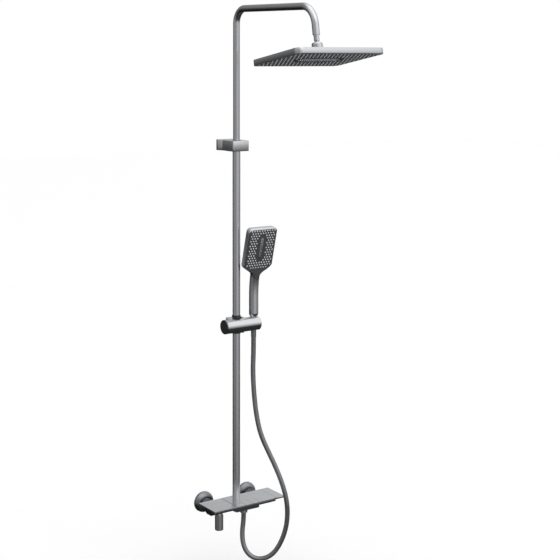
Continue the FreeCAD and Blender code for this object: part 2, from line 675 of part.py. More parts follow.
def wall_screw(place):
    """Pan head and plain neck in the flange, and the thread that goes into the wall."""
    seat = place - V(0, FLANGE_WALL, 0)
    screw = cylinder(WALL_SCREW_HEAD_R, WALL_SCREW_HEAD, seat, -Y_AXIS)
    screw = screw.fuse(cylinder(WALL_SCREW_NECK_R, FLANGE_WALL, seat, Y_AXIS))
    return screw.fuse(cylinder(WALL_SCREW_R, WALL_SCREW_LENGTH, place, Y_AXIS))


def wall_bracket():
    head = rounded_plate(-BRACKET_HALF_WIDTH, BRACKET_HALF_WIDTH, -BRACKET_FRONT, -FLANGE_DEPTH,
                         BRACKET_BOTTOM, BRACKET_TOP, BRACKET_EDGE)
    head = head.cut(cylinder(LOWER_TUBE_R + FIT, BRACKET_HEIGHT, V(0, RISER_Y, BRACKET_BOTTOM)))
    gland_room = GLAND_LENGTH + 2 * GAP
    return head.cut(cylinder(GLAND_R + GAP, gland_room, V(0, RISER_Y, BRACKET_TOP - gland_room)))


def riser_gland():
    return tube(GLAND_R, UPPER_TUBE_R + FIT, GLAND_LENGTH, V(0, RISER_Y, BRACKET_TOP - GLAND_LENGTH))


def stem_direction():
    tilt = math.radians(HEAD_TILT)
    return V(0, math.sin(tilt), math.cos(tilt))


def face_centre():
    return V(0, -HEAD_OUT, HEAD_Z)


def arm_path():
    """Straight riser, rear bend, level run, front bend and a short leaning end."""
    tilt = math.radians(HEAD_TILT)
    stem = stem_direction()
    end = face_centre() + stem * STEM_END
    corner = end + stem * ((ARM_Z - end.z) / stem.z)
    tangent = ARM_FRONT_BEND * math.tan((math.pi / 2 - tilt) / 2)
    level_end = corner + V(0, tangent, 0)
    drop_start = corner - stem * tangent
    centre = level_end - V(0, 0, ARM_FRONT_BEND)
    middle_angle = (math.pi / 2 - tilt) / 2
    front_middle = centre + V(0, -math.sin(middle_angle), math.cos(middle_angle)) * ARM_FRONT_BEND
    rear_low = V(0, RISER_Y, ARM_Z - ARM_REAR_BEND)
    rear_high = V(0, RISER_Y - ARM_REAR_BEND, ARM_Z)
    rear_centre = V(0, RISER_Y - ARM_REAR_BEND, ARM_Z - ARM_REAR_BEND)
    half = math.sqrt(0.5) * ARM_REAR_BEND
    rear_middle = rear_centre + V(0, half, half)
    return Part.Wire([
        Part.LineSegment(V(0, RISER_Y, UPPER_TUBE_BOTTOM), rear_low).toShape(),
        Part.Arc(rear_low, rear_middle, rear_high).toShape(),
        Part.LineSegment(rear_high, level_end).toShape(),
        Part.Arc(level_end, front_middle, drop_start).toShape(),
        Part.LineSegment(drop_start, end).toShape(),
    ])


def swept(radius, path, start, direction):
    ring = Part.Wire(Part.makeCircle(radius, start, direction))
    return path.makePipeShell([ring], True, False)


def shower_arm():
    path = arm_path()
    start = V(0, RISER_Y, UPPER_TUBE_BOTTOM)
    outer = swept(UPPER_TUBE_R, path, start, Z_AXIS)
    inner = swept(UPPER_TUBE_R - UPPER_TUBE_WALL, path, start, Z_AXIS)
    return outer.cut(inner)


# ---- rain head: built upright on its spray face, then tilted --------------------------------
def on_stem(shape):
    tilt = FreeCAD.Placement(face_centre(), FreeCAD.Rotation(X_AXIS, -HEAD_TILT))
    shape.Placement = tilt.multiply(shape.Placement)
    return shape


def head_outline(inset, z0, z1):
    half_width = HEAD_WIDTH / 2 - inset
    half_depth = HEAD_DEPTH / 2 - inset
    return rounded_plate(-half_width, half_width, -half_depth, half_depth, z0, z1, HEAD_CORNER - inset)


def head_shell():
    shell = head_outline(0, 0, HEAD_THICK)
    shell = shell.cut(head_outline(NOZZLE_PLATE_INSET, 0, NOZZLE_PLATE + HEAD_GASKET))
    shell = shell.cut(head_outline(NOZZLE_PLATE_INSET + HEAD_GASKET_WIDTH, 0, HEAD_THICK - HEAD_WALL))
    return on_stem(shell.cut(cylinder(HEAD_INLET_R, HEAD_THICK, V(0, 0, 0))))


def head_gasket():
    ring = head_outline(NOZZLE_PLATE_INSET + FIT, NOZZLE_PLATE, NOZZLE_PLATE + HEAD_GASKET)
    hole = head_outline(NOZZLE_PLATE_INSET + HEAD_GASKET_WIDTH, 0, HEAD_THICK)
    return on_stem(ring.cut(hole))


def nozzle_plate():
    return on_stem(head_outline(NOZZLE_PLATE_INSET + FIT, 0, NOZZLE_PLATE))


def head_collar():
    """Cup on top of the head with a round cavity that holds the ball and its two seats."""
    top = BALL_CENTRE + COLLAR_TOP
    outline = [
        (0, HEAD_THICK), (COLLAR_R, HEAD_THICK), (COLLAR_R, top - COLLAR_ROUND),
        (COLLAR_R - 1.2, top - COLLAR_ROUND / 2.5), (COLLAR_R - COLLAR_ROUND + 0.5, top), (0, top),
    ]
    collar = turned(outline, V(0, 0, 0))
    cavity = Part.makeSphere(BALL_R + SEAT_WALL + 2 * GAP, V(0, 0, BALL_CENTRE))
    mouth = cone(COLLAR_MOUTH_R - 2.0, COLLAR_MOUTH_R, COLLAR_MOUTH, V(0, 0, top - COLLAR_MOUTH))
    inlet = cylinder(HEAD_INLET_R, BALL_CENTRE - HEAD_THICK, V(0, 0, HEAD_THICK))
    return on_stem(collar.cut(cavity).cut(mouth).cut(inlet))


def seat_ring(low, high):
    """Slice of a thin round shell between two heights from the ball centre."""
    centre = V(0, 0, BALL_CENTRE)
    shell = Part.makeSphere(BALL_R + GAP + SEAT_WALL, centre).cut(Part.makeSphere(BALL_R + GAP, centre))
    slab = cylinder(COLLAR_R, high - low, centre + V(0, 0, low))
    return on_stem(shell.common(slab))


def ball_stem():
    ball = Part.makeSphere(BALL_R, V(0, 0, BALL_CENTRE))
    stem = cylinder(BALL_STEM_R, BALL_NUT_START - BALL_CENTRE, V(0, 0, BALL_CENTRE))
    nut = cylinder(BALL_NUT_R, STEM_END - BALL_NUT_START, V(0, 0, BALL_NUT_START))
    thread = cylinder(UPPER_TUBE_R - UPPER_TUBE_WALL - FIT, BALL_THREAD, V(0, 0, STEM_END))
    bore = cylinder(BALL_BORE_R, STEM_END + BALL_THREAD, V(0, 0, 0))
    return on_stem(ball.fuse(stem).fuse(nut).fuse(thread).cut(bore))


# ---- sliding holder ---------------------------------------------------------------------
def button_place(height):
    return V(BUTTON_X, -SLIDER_OUT, SLIDER_Z + height)


def bush_hole_radius():
    return LOWER_TUBE_R + FIT + BUSH_WALL + FIT


def slider_body():
    length = SLIDER_LEFT + SLIDER_RIGHT - SLIDER_CAP
    body = cylinder(SLIDER_R, length, V(-SLIDER_LEFT + SLIDER_CAP, -SLIDER_OUT, SLIDER_Z), X_AXIS)
    body = body.cut(cylinder(LAND_R, SLIDER_R, V(HANDSET_X, -SLIDER_OUT, SLIDER_Z + LAND_Z)))
    body = body.cut(cylinder(bush_hole_radius(), 4 * SLIDER_R, V(0, RISER_Y, SLIDER_Z - 2 * SLIDER_R)))
    socket = cone(SOCKET_BOTTOM_R, SOCKET_TOP_R, SLIDER_R + LAND_Z, V(HANDSET_X, -SLIDER_OUT, SOCKET_FLOOR))
    body = body.cut(socket)
    body = body.cut(cylinder(BUTTON_R + GAP, SLIDER_R, button_place(BUTTON_POCKET)))
    return body.cut(clamp_shoe())


def slider_cap():
    return cylinder(SLIDER_R, SLIDER_CAP, V(-SLIDER_LEFT, -SLIDER_OUT, SLIDER_Z), X_AXIS)


def riser_bush():
    """Plastic liner that runs on the riser, with a flared collar on top."""
    inner = LOWER_TUBE_R + FIT
    low = -BUSH_BELOW
    outline = [
        (inner, low), (inner + BUSH_WALL, low), (inner + BUSH_WALL, BUSH_ABOVE),
        (BUSH_COLLAR_R, BUSH_ABOVE), (BUSH_COLLAR_R, BUSH_ABOVE + 1.0),
        (inner + 0.8, BUSH_ABOVE + BUSH_COLLAR), (inner, BUSH_ABOVE + BUSH_COLLAR),
    ]
    return turned(outline, V(0, RISER_Y, SLIDER_Z))


def clamp_shoe():
    """Small brake block between the release button and the liner."""
    radius = bush_hole_radius()
    shoe = block(-radius - SHOE_DEPTH, 0, RISER_Y - SHOE_HALF_WIDTH, RISER_Y + SHOE_HALF_WIDTH,
                 SLIDER_Z + SHOE_BOTTOM, SLIDER_Z + SHOE_TOP)
    return shoe.cut(cylinder(radius, SHOE_TOP - SHOE_BOTTOM, V(0, RISER_Y, SLIDER_Z + SHOE_BOTTOM)))


def slider_button():
    return cylinder(BUTTON_R, BUTTON_LENGTH, button_place(BUTTON_TOP - BUTTON_LENGTH))


def button_spring():
    length = BUTTON_TOP - BUTTON_LENGTH - BUTTON_POCKET
    return tube(BUTTON_SPRING_R, BUTTON_SPRING_R - BUTTON_SPRING_WIRE, length, button_place(BUTTON_POCKET))


# ---- handset ------------------------------------------------------------------------------
def handset_axis(z):
    return V(HANDSET_X, -SLIDER_OUT, z)


def on_face(shape):
    """Lean a shape built upright, front towards -Y, about the centre of the spray face."""
    centre = V(HANDSET_X, -FACE_OUT, FACE_Z)
    lean = FreeCAD.Placement(centre, FreeCAD.Rotation(X_AXIS, HANDSET_TILT))
    shape.Placement = lean.multiply(shape.Placement)
    return shape


def upright_plate(outline, front, back):
    """Prism of an outline drawn in XY (Y meaning height) between two depths behind the face."""
    solid = Part.Face(outline).extrude(V(0, 0, front - back))
    solid.Placement = FreeCAD.Placement(V(0, front, 0), FreeCAD.Rotation(X_AXIS, 90))
    return solid


def face_outline(inset):
    half = FACE_WIDTH / 2 - inset
    high = FACE_HEIGHT / 2 - inset
    return rounded_outline(-half, half, -high, high, FACE_CORNER_LOW - inset, FACE_CORNER_TOP - inset)


def tongue_outline(inset):
    half = TONGUE_HALF - inset
    low = -TONGUE_REACH + inset
    return rounded_outline(-half, half, low, 0, half - HAIR, 1.0)


def pill_outline(width, height, centre):
    radius = width / 2 - HAIR
    low = centre - height / 2
    return rounded_outline(-width / 2, width / 2, low, low + height, radius, radius)


def face_blank(inset, front, back):
    plate = upright_plate(face_outline(inset), front, back)
    return plate.fuse(upright_plate(tongue_outline(inset), front, back))


def handset_handle():
    base = HANDLE_BOTTOM
    tip = cone(HANDLE_TIP_R, HANDLE_R, HANDLE_TIP, handset_axis(base))
    grip = cylinder(HANDLE_R, HANDLE_LENGTH - HANDLE_TIP, handset_axis(base + HANDLE_TIP))
    return tip.fuse(grip).fuse(Part.makeSphere(HANDLE_R, handset_axis(base + HANDLE_LENGTH)))


def shoulder_outline():
    """Tapered neck between the wide head and the slim handle."""
    top = -FACE_HEIGHT / 2 + FACE_CORNER_LOW
    low = -FACE_HEIGHT / 2 - SHOULDER_DROP
    half = FACE_WIDTH / 2 - SHOULDER_INSET
    points = [(-half, top), (half, top), (HANDLE_R, low), (-HANDLE_R, low)]
    return Part.makePolygon([V(x, y, 0) for x, y in points + points[:1]])


def handset_shell():
    head = on_face(upright_plate(face_outline(0), 0, HANDSET_THICK))
    neck = on_face(upright_plate(shoulder_outline(), HANDSET_SEAM, HANDSET_THICK))
    shell = head.fuse(neck).fuse(handset_handle())
    shell = shell.cut(on_face(face_blank(HANDSET_SEAM, -HANDSET_THICK, FACE_THICK)))
    shell = shell.cut(on_face(upright_plate(face_outline(HANDSET_SIDE), 0, HANDSET_THICK - HANDSET_WALL)))
    shell = shell.cut(cylinder(HANDLE_BORE_R, feed_top() + 1 - HANDLE_BOTTOM, handset_axis(HANDLE_BOTTOM)))
    return shell.cut(feed_elbow(ELBOW_R + FIT, 0))


def handset_face():
    face = face_blank(HANDSET_SEAM + FIT, 0, FACE_THICK)
    insert_hole = pill_outline(INSERT_WIDTH + 2 * FIT, INSERT_HEIGHT + 2 * FIT, 0)
    mode_hole = pill_outline(MODE_WIDTH + 2 * GAP, MODE_HEIGHT + 2 * GAP, -MODE_CENTRE)
    for outline in (insert_hole, mode_hole):
        face = face.cut(upright_plate(outline, 0, FACE_THICK))
    return on_face(face)


def spray_insert():
    outline = pill_outline(INSERT_WIDTH, INSERT_HEIGHT, 0)
    return on_face(upright_plate(outline, -INSERT_PROUD, FACE_THICK))


def mode_button():
    outline = pill_outline(MODE_WIDTH, MODE_HEIGHT, -MODE_CENTRE)
    return on_face(upright_plate(outline, -MODE_PROUD, FACE_THICK - MODE_TRAVEL - GAP))


def feed_top():
    return FACE_Z - FACE_HEIGHT / 2


def face_point(height, depth):
    """Point on the handset's middle line: height above the face centre, depth behind the face."""
    lean = math.radians(HANDSET_TILT)
    out = -FACE_OUT - height * math.sin(lean) + depth * math.cos(lean)
    return V(HANDSET_X, out, FACE_Z + height * math.cos(lean) + depth * math.sin(lean))


def feed_elbow(radius, beyond):
    """Duct from the top of the handle's feed to the distributor plate, or a length beyond it."""
    start = handset_axis(feed_top())
    reach = face_point(-ELBOW_DROP, PLATE_BACK) - start
    return cylinder(radius, reach.Length + beyond, start, reach)


def handset_core():
    """Water distributor behind the spray face and the tube that feeds it."""
    core = on_face(upright_plate(face_outline(HANDSET_SIDE + 1), PLATE_FRONT, PLATE_BACK))
    start = handset_axis(HANDLE_BOTTOM + FEED_START)
    bore_length = feed_top() - start.z
    core = core.fuse(cylinder(FEED_R, bore_length + 1, start)).fuse(feed_elbow(ELBOW_R, 0))
    core = core.cut(cylinder(FEED_BORE_R, bore_length - 1, start))
    return core.cut(feed_elbow(ELBOW_BORE_R, 2 * ELBOW_R))


def cone_top():
    return HANDLE_BOTTOM - CONE_DROP


def hose_top():
    return cone_top() - CONE_ROOF - 1.0


def sleeve_outer():
    return HOSE_R + GAP + SLEEVE_WALL


def hose_cone_nut():
    """Conical nut on the hose: it rests in the socket of the slider."""
    slope = (SOCKET_TOP_R - SOCKET_BOTTOM_R) / (SLIDER_R + LAND_Z)
    top_radius = SOCKET_TOP_R - GAP
    low_radius = top_radius - slope * CONE_LENGTH
    low = handset_axis(cone_top() - CONE_LENGTH)
    nut = cone(low_radius, top_radius, CONE_LENGTH, low)
    nut = nut.cut(cylinder(HANDLE_TIP_R + 1.0, CONE_CUP, handset_axis(cone_top() - CONE_CUP)))
    nut = nut.fuse(cylinder(HANDLE_BORE_R - GAP, CONE_SPIGOT, handset_axis(cone_top() - CONE_DROP)))
    nut = nut.cut(cylinder(CONE_BORE_R, CONE_LENGTH + CONE_SPIGOT, low))
    return nut.cut(cylinder(sleeve_outer() + FIT, CONE_LENGTH - CONE_ROOF, low))


def hose_sleeve():
    """Bend protection sleeve round the hose's upper end: it lifts out with the handset."""
    low = handset_axis(cone_top() - CONE_ROOF - SLEEVE_LENGTH)
    return tube(sleeve_outer(), HOSE_R + GAP, SLEEVE_LENGTH, low)


# ---- hose -----------------------------------------------------------------------------------
def hose_route():
    start = V(OUTLET_X, RISER_Y, HOSE_START)
    points = [
        V(OUTLET_X, RISER_Y, -58),
        V(19, -66, -94),
        V(16, -76, -130),
        V(24, -91, -157),
        V(42, -109, -170),
        V(65, -126, -167),
        V(85, -140, -149),
        V(100, -152, -116),
        V(110, -161, -76),
        V(114, -165, -32),
        V(110, -165, 16),
        V(102, -155, 62),
        V(90, -136, 113),
        V(74, -117, 162),
        V(59, -100, 212),
        V(53, -87, 272),
        V(51, -78, 338),
        V(52, -72, 398),
        V(55.3, -70.2, 450),
        V(HANDSET_X, -SLIDER_OUT, 500),
    ]
    return [start] + points + [V(HANDSET_X, -SLIDER_OUT, hose_top())]


def hose():
    """Tube of straight runs joined by tangent arcs, each as large as its runs allow."""
    route = hose_route()
    edges = []
    here = route[0]
    for before, corner, after in zip(route, route[1:], route[2:]):
        back = before - corner
        ahead = after - corner
        cut = HOSE_BEND_SHARE * min(back.Length, ahead.Length)
        turn = math.pi - back.getAngle(ahead)
        radius = cut / math.tan(turn / 2)
        degrees = math.degrees(turn)
        print("hose bend: turn %5.1f deg, run %6.1f, radius %7.1f" % (degrees, back.Length, radius))
        first = corner + back * (cut / back.Length)
        last = corner + ahead * (cut / ahead.Length)
        inward = (first + last) * 0.5 - corner
        to_centre = math.hypot(radius, cut)
        middle = corner + inward * ((to_centre - radius) / inward.Length)
        edges.append(Part.LineSegment(here, first).toShape())
        edges.append(Part.Arc(first, middle, last).toShape())
        here = last
    edges.append(Part.LineSegment(here, route[-1]).toShape())
    path = Part.Wire(edges)
    solid = swept(HOSE_R, path, route[0], route[1] - route[0])
    expected = math.pi * HOSE_R ** 2 * path.Length
    print("hose length %.1f, volume %.0f, section times length %.0f" % (path.Length, solid.Volume, expected))
    return solid


# ---- all the pieces ------------------------------------------------------------------------
def group(shapes):
    return Part.makeCompound(shapes)


def main():
    os.makedirs("parts", exist_ok=True)
    for side, x in (("left", -INLET_X), ("right", INLET_X)):
        save("inlet_union_" + side, inlet_union(x))
        save("escutcheon_" + side, escutcheon(x))
        save("union_nut_" + side, union_nut(x))
    save("inlet_strainers", group([inlet_strainer(-INLET_X), inlet_strainer(INLET_X)]))
    save("check_valves", group([check_valve(-INLET_X), check_valve(INLET_X)]))
    save("mixer_body", mixer_body())
    save("shelf_plate", shelf_plate())
    save("shelf_studs", group([shelf_stud(x, y) for x, y in shelf_stud_places()]))
    for index, name in enumerate(("spout", "hand", "rain")):
        save("key_" + name, key(index))
        save("plunger_" + name, plunger(index))
        save("key_spring_" + name, key_spring(index))
        save("stop_cartridge_" + name, stop_cartridge(index))
    save("thermostat_cartridge", thermostat_cartridge())
    save("cartridge_nut", cartridge_nut())
    save("thermostat_spindle", thermostat_spindle())
    save("temperature_lever", temperature_lever())
    save("spout_nozzle", spout_nozzle())
    save("spout_aerator", spout_aerator())
    save("hose_outlet", hose_outlet())
    save("hose_nut_lower", hose_nut_lower())
    save("riser_seal", riser_seal())
    save("lower_riser", lower_riser())
    save("wall_flange", wall_flange())
    save("wall_bracket", wall_bracket())
    save("wall_screws", group([wall_screw(place) for place in wall_screw_places()]))
    save("riser_gland", riser_gland())
    save("shower_arm", shower_arm())
    save("ball_stem", ball_stem())
    save("ball_seat_upper", seat_ring(SEAT_NEAR, SEAT_FAR))
    save("ball_seat_lower", seat_ring(-SEAT_FAR, -SEAT_NEAR))
    save("head_collar", head_collar())
    save("head_shell", head_shell())
    save("head_gasket", head_gasket())
    save("nozzle_plate", nozzle_plate())
    save("slider_body", slider_body())
    save("slider_cap", slider_cap())
    save("riser_bush", riser_bush())
    save("clamp_shoe", clamp_shoe())
    save("slider_button", slider_button())
    save("button_spring", button_spring())
    save("hose_cone_nut", hose_cone_nut())
    save("hose_sleeve", hose_sleeve())
    save("handset_shell", handset_shell())
    save("handset_face", handset_face())
    save("spray_insert", spray_insert())
    save("handset_core", handset_core())
    save("mode_button", mode_button())
    save("hose", hose())


main()
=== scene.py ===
"""Visual model of a wall shower column: shelf mixer, riser, hand shower and rain head."""
import json
import math

import bmesh
import bpy
import numpy as np
from mathutils import Matrix, Vector


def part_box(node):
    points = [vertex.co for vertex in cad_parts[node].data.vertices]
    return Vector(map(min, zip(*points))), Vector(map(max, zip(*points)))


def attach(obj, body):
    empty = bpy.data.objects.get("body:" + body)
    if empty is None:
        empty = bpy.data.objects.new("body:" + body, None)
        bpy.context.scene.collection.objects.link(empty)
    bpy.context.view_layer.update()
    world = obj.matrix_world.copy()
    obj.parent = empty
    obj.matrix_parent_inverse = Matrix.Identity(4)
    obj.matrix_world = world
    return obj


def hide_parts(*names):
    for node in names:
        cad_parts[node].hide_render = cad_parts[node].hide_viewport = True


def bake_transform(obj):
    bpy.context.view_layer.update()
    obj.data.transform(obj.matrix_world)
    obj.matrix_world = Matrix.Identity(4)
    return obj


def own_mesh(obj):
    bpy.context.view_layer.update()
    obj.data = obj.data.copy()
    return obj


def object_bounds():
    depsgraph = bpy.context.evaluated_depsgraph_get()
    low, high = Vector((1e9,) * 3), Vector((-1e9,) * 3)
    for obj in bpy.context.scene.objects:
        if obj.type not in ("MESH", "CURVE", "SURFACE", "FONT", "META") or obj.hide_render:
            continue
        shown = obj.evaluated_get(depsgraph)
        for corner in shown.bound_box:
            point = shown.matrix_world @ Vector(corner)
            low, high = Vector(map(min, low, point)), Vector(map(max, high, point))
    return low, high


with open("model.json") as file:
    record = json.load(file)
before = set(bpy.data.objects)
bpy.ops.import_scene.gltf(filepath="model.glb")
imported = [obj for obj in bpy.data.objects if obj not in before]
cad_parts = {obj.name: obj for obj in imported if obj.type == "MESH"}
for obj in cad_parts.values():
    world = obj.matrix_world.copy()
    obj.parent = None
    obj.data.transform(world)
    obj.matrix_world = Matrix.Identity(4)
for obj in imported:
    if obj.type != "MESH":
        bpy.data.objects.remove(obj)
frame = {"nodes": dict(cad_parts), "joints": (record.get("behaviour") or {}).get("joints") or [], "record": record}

MM = 0.001
SCENE = bpy.context.scene
JOINTS = {joint["name"]: joint for joint in frame["joints"]}
CAD_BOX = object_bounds()


# ---- small tools --------------------------------------------------------------------------
def unit(vector):
    """The vector divided by its length."""
    vector = np.asarray(vector, float)
    return vector / np.linalg.norm(vector)


def linear(colour):
    """An sRGB hex colour as linear RGBA."""
    srgb = np.array([int(colour[i:i + 2], 16) for i in (1, 3, 5)]) / 255
    rgb = np.where(srgb <= 0.04045, srgb / 12.92, ((srgb + 0.055) / 1.055) ** 2.4)
    return (*rgb.tolist(), 1.0)


def node(tree, kind, inputs=None, stops=None, **settings):
    """Adds a shader node; an input is a value or another node's output, and stops fill a ramp."""
    made = tree.nodes.new("ShaderNode" + kind)
    for name, value in settings.items():
        setattr(made, name, value)
    for key, value in (inputs or {}).items():
        if isinstance(value, bpy.types.NodeSocket):
            tree.links.new(value, made.inputs[key])
        else:
            made.inputs[key].default_value = value
    if stops:
        elements = made.color_ramp.elements
        for index, (position, colour) in enumerate(stops):
            element = elements[index] if index < 2 else elements.new(position)
            element.position = position
            element.color = colour
    return made


def grey(value):
    """A linear grey as RGBA."""
    return (value, value, value, 1.0)


def box(name):
    """Corners of a CAD node in metres, as arrays."""
    low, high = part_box(name)
    return np.array(low), np.array(high)


def vertices_of(name):
    """All mesh points of a CAD node at rest, in metres."""
    mesh = frame["nodes"][name].data
    points = np.empty(len(mesh.vertices) * 3)
    mesh.vertices.foreach_get("co", points)
    return points.reshape(-1, 3)


class Place:
    """A local frame: origin and three axes. Local (x, y, z) is origin + x e1 + y e2 + z e3."""

    def __init__(self, origin, axes):
        self.origin = np.asarray(origin, float)
        self.axes = np.array([unit(axis) for axis in axes])

    def put(self, points):
        return self.origin + np.asarray(points) @ self.axes

    def box(self, name):
        local = (vertices_of(name) - self.origin) @ self.axes.T
        return local.min(0), local.max(0)


def along(origin, direction):
    """Frame whose third axis is the direction."""
    direction = unit(direction)
    helper = (0, 0, 1) if abs(direction[2]) < 0.9 else (0, 1, 0)
    first = unit(np.cross(helper, direction))
    return Place(origin, [first, np.cross(direction, first), direction])


# ---- materials ----------------------------------------------------------------------------
def coated(name, colour, metallic, roughness, spread=0.05, mottle=30 * MM, stretch=(1, 1, 1),
           grain=1.2 * MM, relief=0.0, tone=0.08, edge=0.0, coat=0.0):
    """Surface with soft patches of gloss and tone, and a fine relief of the given grain size.

    Gloss is roughness plus or minus the spread, by a smooth noise of patch size mottle; the
    relief is a second noise of the grain size, drawn out along an axis where stretch is small.
    """
    material = bpy.data.materials.new(name)
    material.use_nodes = True
    tree = material.node_tree
    tree.nodes.clear()
    place = node(tree, "TexCoord").outputs["Object"]
    patches = node(tree, "TexNoise", {"Vector": place, "Scale": 1 / mottle, "Detail": 3.0})
    drawn = node(tree, "Mapping", {"Vector": place, "Scale": stretch}).outputs["Vector"]
    fine = node(tree, "TexNoise", {"Vector": drawn, "Scale": 1 / grain, "Detail": 2.0})
    gloss = node(tree, "MapRange", {
        "Value": patches.outputs["Fac"], "From Min": 0.3, "From Max": 0.7,
        "To Min": roughness - spread, "To Max": roughness + spread})
    base = np.array(linear(colour))
    dark, light = base * (1 - tone), np.minimum(base * (1 + tone), 1)
    dark[3] = light[3] = 1
    shade = node(tree, "ValToRGB", {"Fac": fine.outputs["Fac"]},
                 stops=[(0.25, dark.tolist()), (0.75, light.tolist())])
    normal = None
    if edge:
        normal = node(tree, "Bevel", {"Radius": edge}, samples=6).outputs["Normal"]
    if relief:
        settings = {"Height": fine.outputs["Fac"], "Distance": relief, "Strength": 1.0}
        if normal:
            settings["Normal"] = normal
        normal = node(tree, "Bump", settings).outputs["Normal"]
    values = {"Base Color": shade.outputs["Color"], "Metallic": metallic,
              "Roughness": gloss.outputs["Result"], "Coat Weight": coat, "Coat Roughness": 0.12}
    if normal:
        values["Normal"] = normal
    shader = node(tree, "BsdfPrincipled", values)
    node(tree, "OutputMaterial", {"Surface": shader.outputs["BSDF"]})
    return material


# Brass or zinc, plated and brushed to a satin gunmetal grey: long soft reflections. The real
# brush lines are 0.1 mm wide; they are drawn 0.8 mm wide so that they show at all.
SATIN = coated("satin gunmetal plating", "#cfd0d3", 1.0, 0.25, spread=0.02, grain=0.8 * MM,
               stretch=(1, 1, 0.04), tone=0.02, edge=0.5 * MM)
# The same plating polished bright: it mirrors the room with a hard change from light to dark.
POLISHED = coated("polished gunmetal plating", "#cfd0d3", 1.0, 0.12, spread=0.02,
                  relief=0.0, tone=0.02, edge=0.4 * MM)
# The pressed covers and the nuts, over a coarser polish, are coloured darker than the tubes: painted shade from
# the shelf above them.
COVER_PAINTED_SHADE = coated("satin gunmetal darkened by painted shade", "#8b8d91", 1.0, 0.30, spread=0.03, grain=1.5 * MM,
               tone=0.04, edge=0.4 * MM)
# Blackened plating: the same mirror, but it keeps only a third of the light.
DARK = coated("dark gunmetal plating", "#77797d", 1.0, 0.24, spread=0.03, tone=0.05,
              edge=0.4 * MM)
# Turned brass, uncoated where it is hidden behind the covers: warm, with turning marks.
BRASS = coated("turned brass", "#c9a765", 1.0, 0.30, stretch=(0.1, 1, 0.1), grain=0.6 * MM,
               relief=0.004 * MM, tone=0.10)
# Stainless steel wire and mesh: cool grey with a fine drawn grain.
STEEL = coated("stainless steel", "#c3c4c6", 1.0, 0.28, grain=0.6 * MM, relief=0.003 * MM)
# Spring steel: darker, lightly oiled, so its gloss is patchy.
SPRING = coated("oiled spring steel", "#8d8c8a", 1.0, 0.32, spread=0.09, mottle=8 * MM)
# Black acetal: waxy half gloss.
ACETAL = coated("black acetal", "#1d1e20", 0.0, 0.38, spread=0.06, grain=0.5 * MM,
                relief=0.004 * MM, tone=0.15, edge=0.3 * MM)
# Grey glass filled nylon inside the hand shower: dull, with a slight fibre mottle.
NYLON = coated("grey nylon", "#6d6f72", 0.0, 0.50, spread=0.06, mottle=6 * MM, tone=0.12,
               relief=0.006 * MM)
# Moulded ABS spray plate, spark eroded to a matt grain of about half a millimetre.
ABS = coated("matt grey ABS", "#4b4c4f", 0.35, 0.42, spread=0.05, grain=0.7 * MM,
             relief=0.012 * MM, tone=0.06)
# Moulded EPDM rubber: black and dull.
RUBBER = coated("EPDM rubber", "#17181a", 0.0, 0.62, spread=0.08, mottle=10 * MM,
                relief=0.02 * MM, tone=0.2)
# Alumina ceramic of the valve discs: hard white with a glazed shine.
CERAMIC = coated("valve ceramic", "#e8e6df", 0.0, 0.18, tone=0.02, coat=0.5)
# Liquid silicone spray nozzles: soft light grey that barely shines.
SILICONE = coated("grey silicone", "#a2a4a7", 0.0, 0.50, spread=0.05, grain=1.0 * MM, tone=0.06)
# Lighter silicone on the hand shower, so that each small nozzle stands out on the dark face.
PALE_SILICONE = coated("pale silicone", "#d6d8da", 0.0, 0.50, spread=0.05, grain=1.0 * MM,
                       tone=0.04)
# The openings between the nozzles, drawn as thin dark pieces on the plate: painted shade of deep, unlit holes.
SLOT_PAINTED_SHADE = coated("painted shade of open slot", "#101113", 0.0, 0.55, tone=0.2, grain=2 * MM)


def hose_skin():
    """Clear PVC over metallised film: a silvery tube with a faint spiral under a glossy skin.

    The spiral repeats each 3 mm along the piece's own path length. The real film strip is
    1.5 mm wide and is drawn 3 mm wide.
    """
    material = bpy.data.materials.new("metallised PVC hose")
    material.use_nodes = True
    tree = material.node_tree
    tree.nodes.clear()
    uv = node(tree, "UVMap", uv_map="path").outputs["UV"]
    parts = node(tree, "SeparateXYZ", {"Vector": uv})
    turns = node(tree, "Math", {0: parts.outputs["Y"], 1: parts.outputs["X"]}, operation="ADD")
    wave = node(tree, "Math", {0: turns.outputs[0], 1: 2 * math.pi}, operation="MULTIPLY")
    wave = node(tree, "Math", {0: wave.outputs[0]}, operation="SINE")
    place = node(tree, "TexCoord").outputs["Object"]
    patches = node(tree, "TexNoise", {"Vector": place, "Scale": 1 / (18 * MM), "Detail": 2.0})
    shade = node(tree, "MapRange", {"Value": wave.outputs[0], "From Min": -1.0})
    colour = node(tree, "ValToRGB", {"Fac": shade.outputs["Result"]},
                  stops=[(0.0, linear("#797b7e")), (1.0, linear("#8a8c8f"))])
    gloss = node(tree, "MapRange", {"Value": patches.outputs["Fac"], "From Min": 0.3,
                                    "From Max": 0.7, "To Min": 0.26, "To Max": 0.36})
    bump = node(tree, "Bump", {"Height": wave.outputs[0], "Distance": 0.03 * MM})
    shader = node(tree, "BsdfPrincipled", {
        "Base Color": colour.outputs["Color"], "Metallic": 0.85,
        "Roughness": gloss.outputs["Result"], "Coat Weight": 0.3, "Coat Roughness": 0.15,
        "Normal": bump.outputs["Normal"]})
    node(tree, "OutputMaterial", {"Surface": shader.outputs["BSDF"]})
    return material


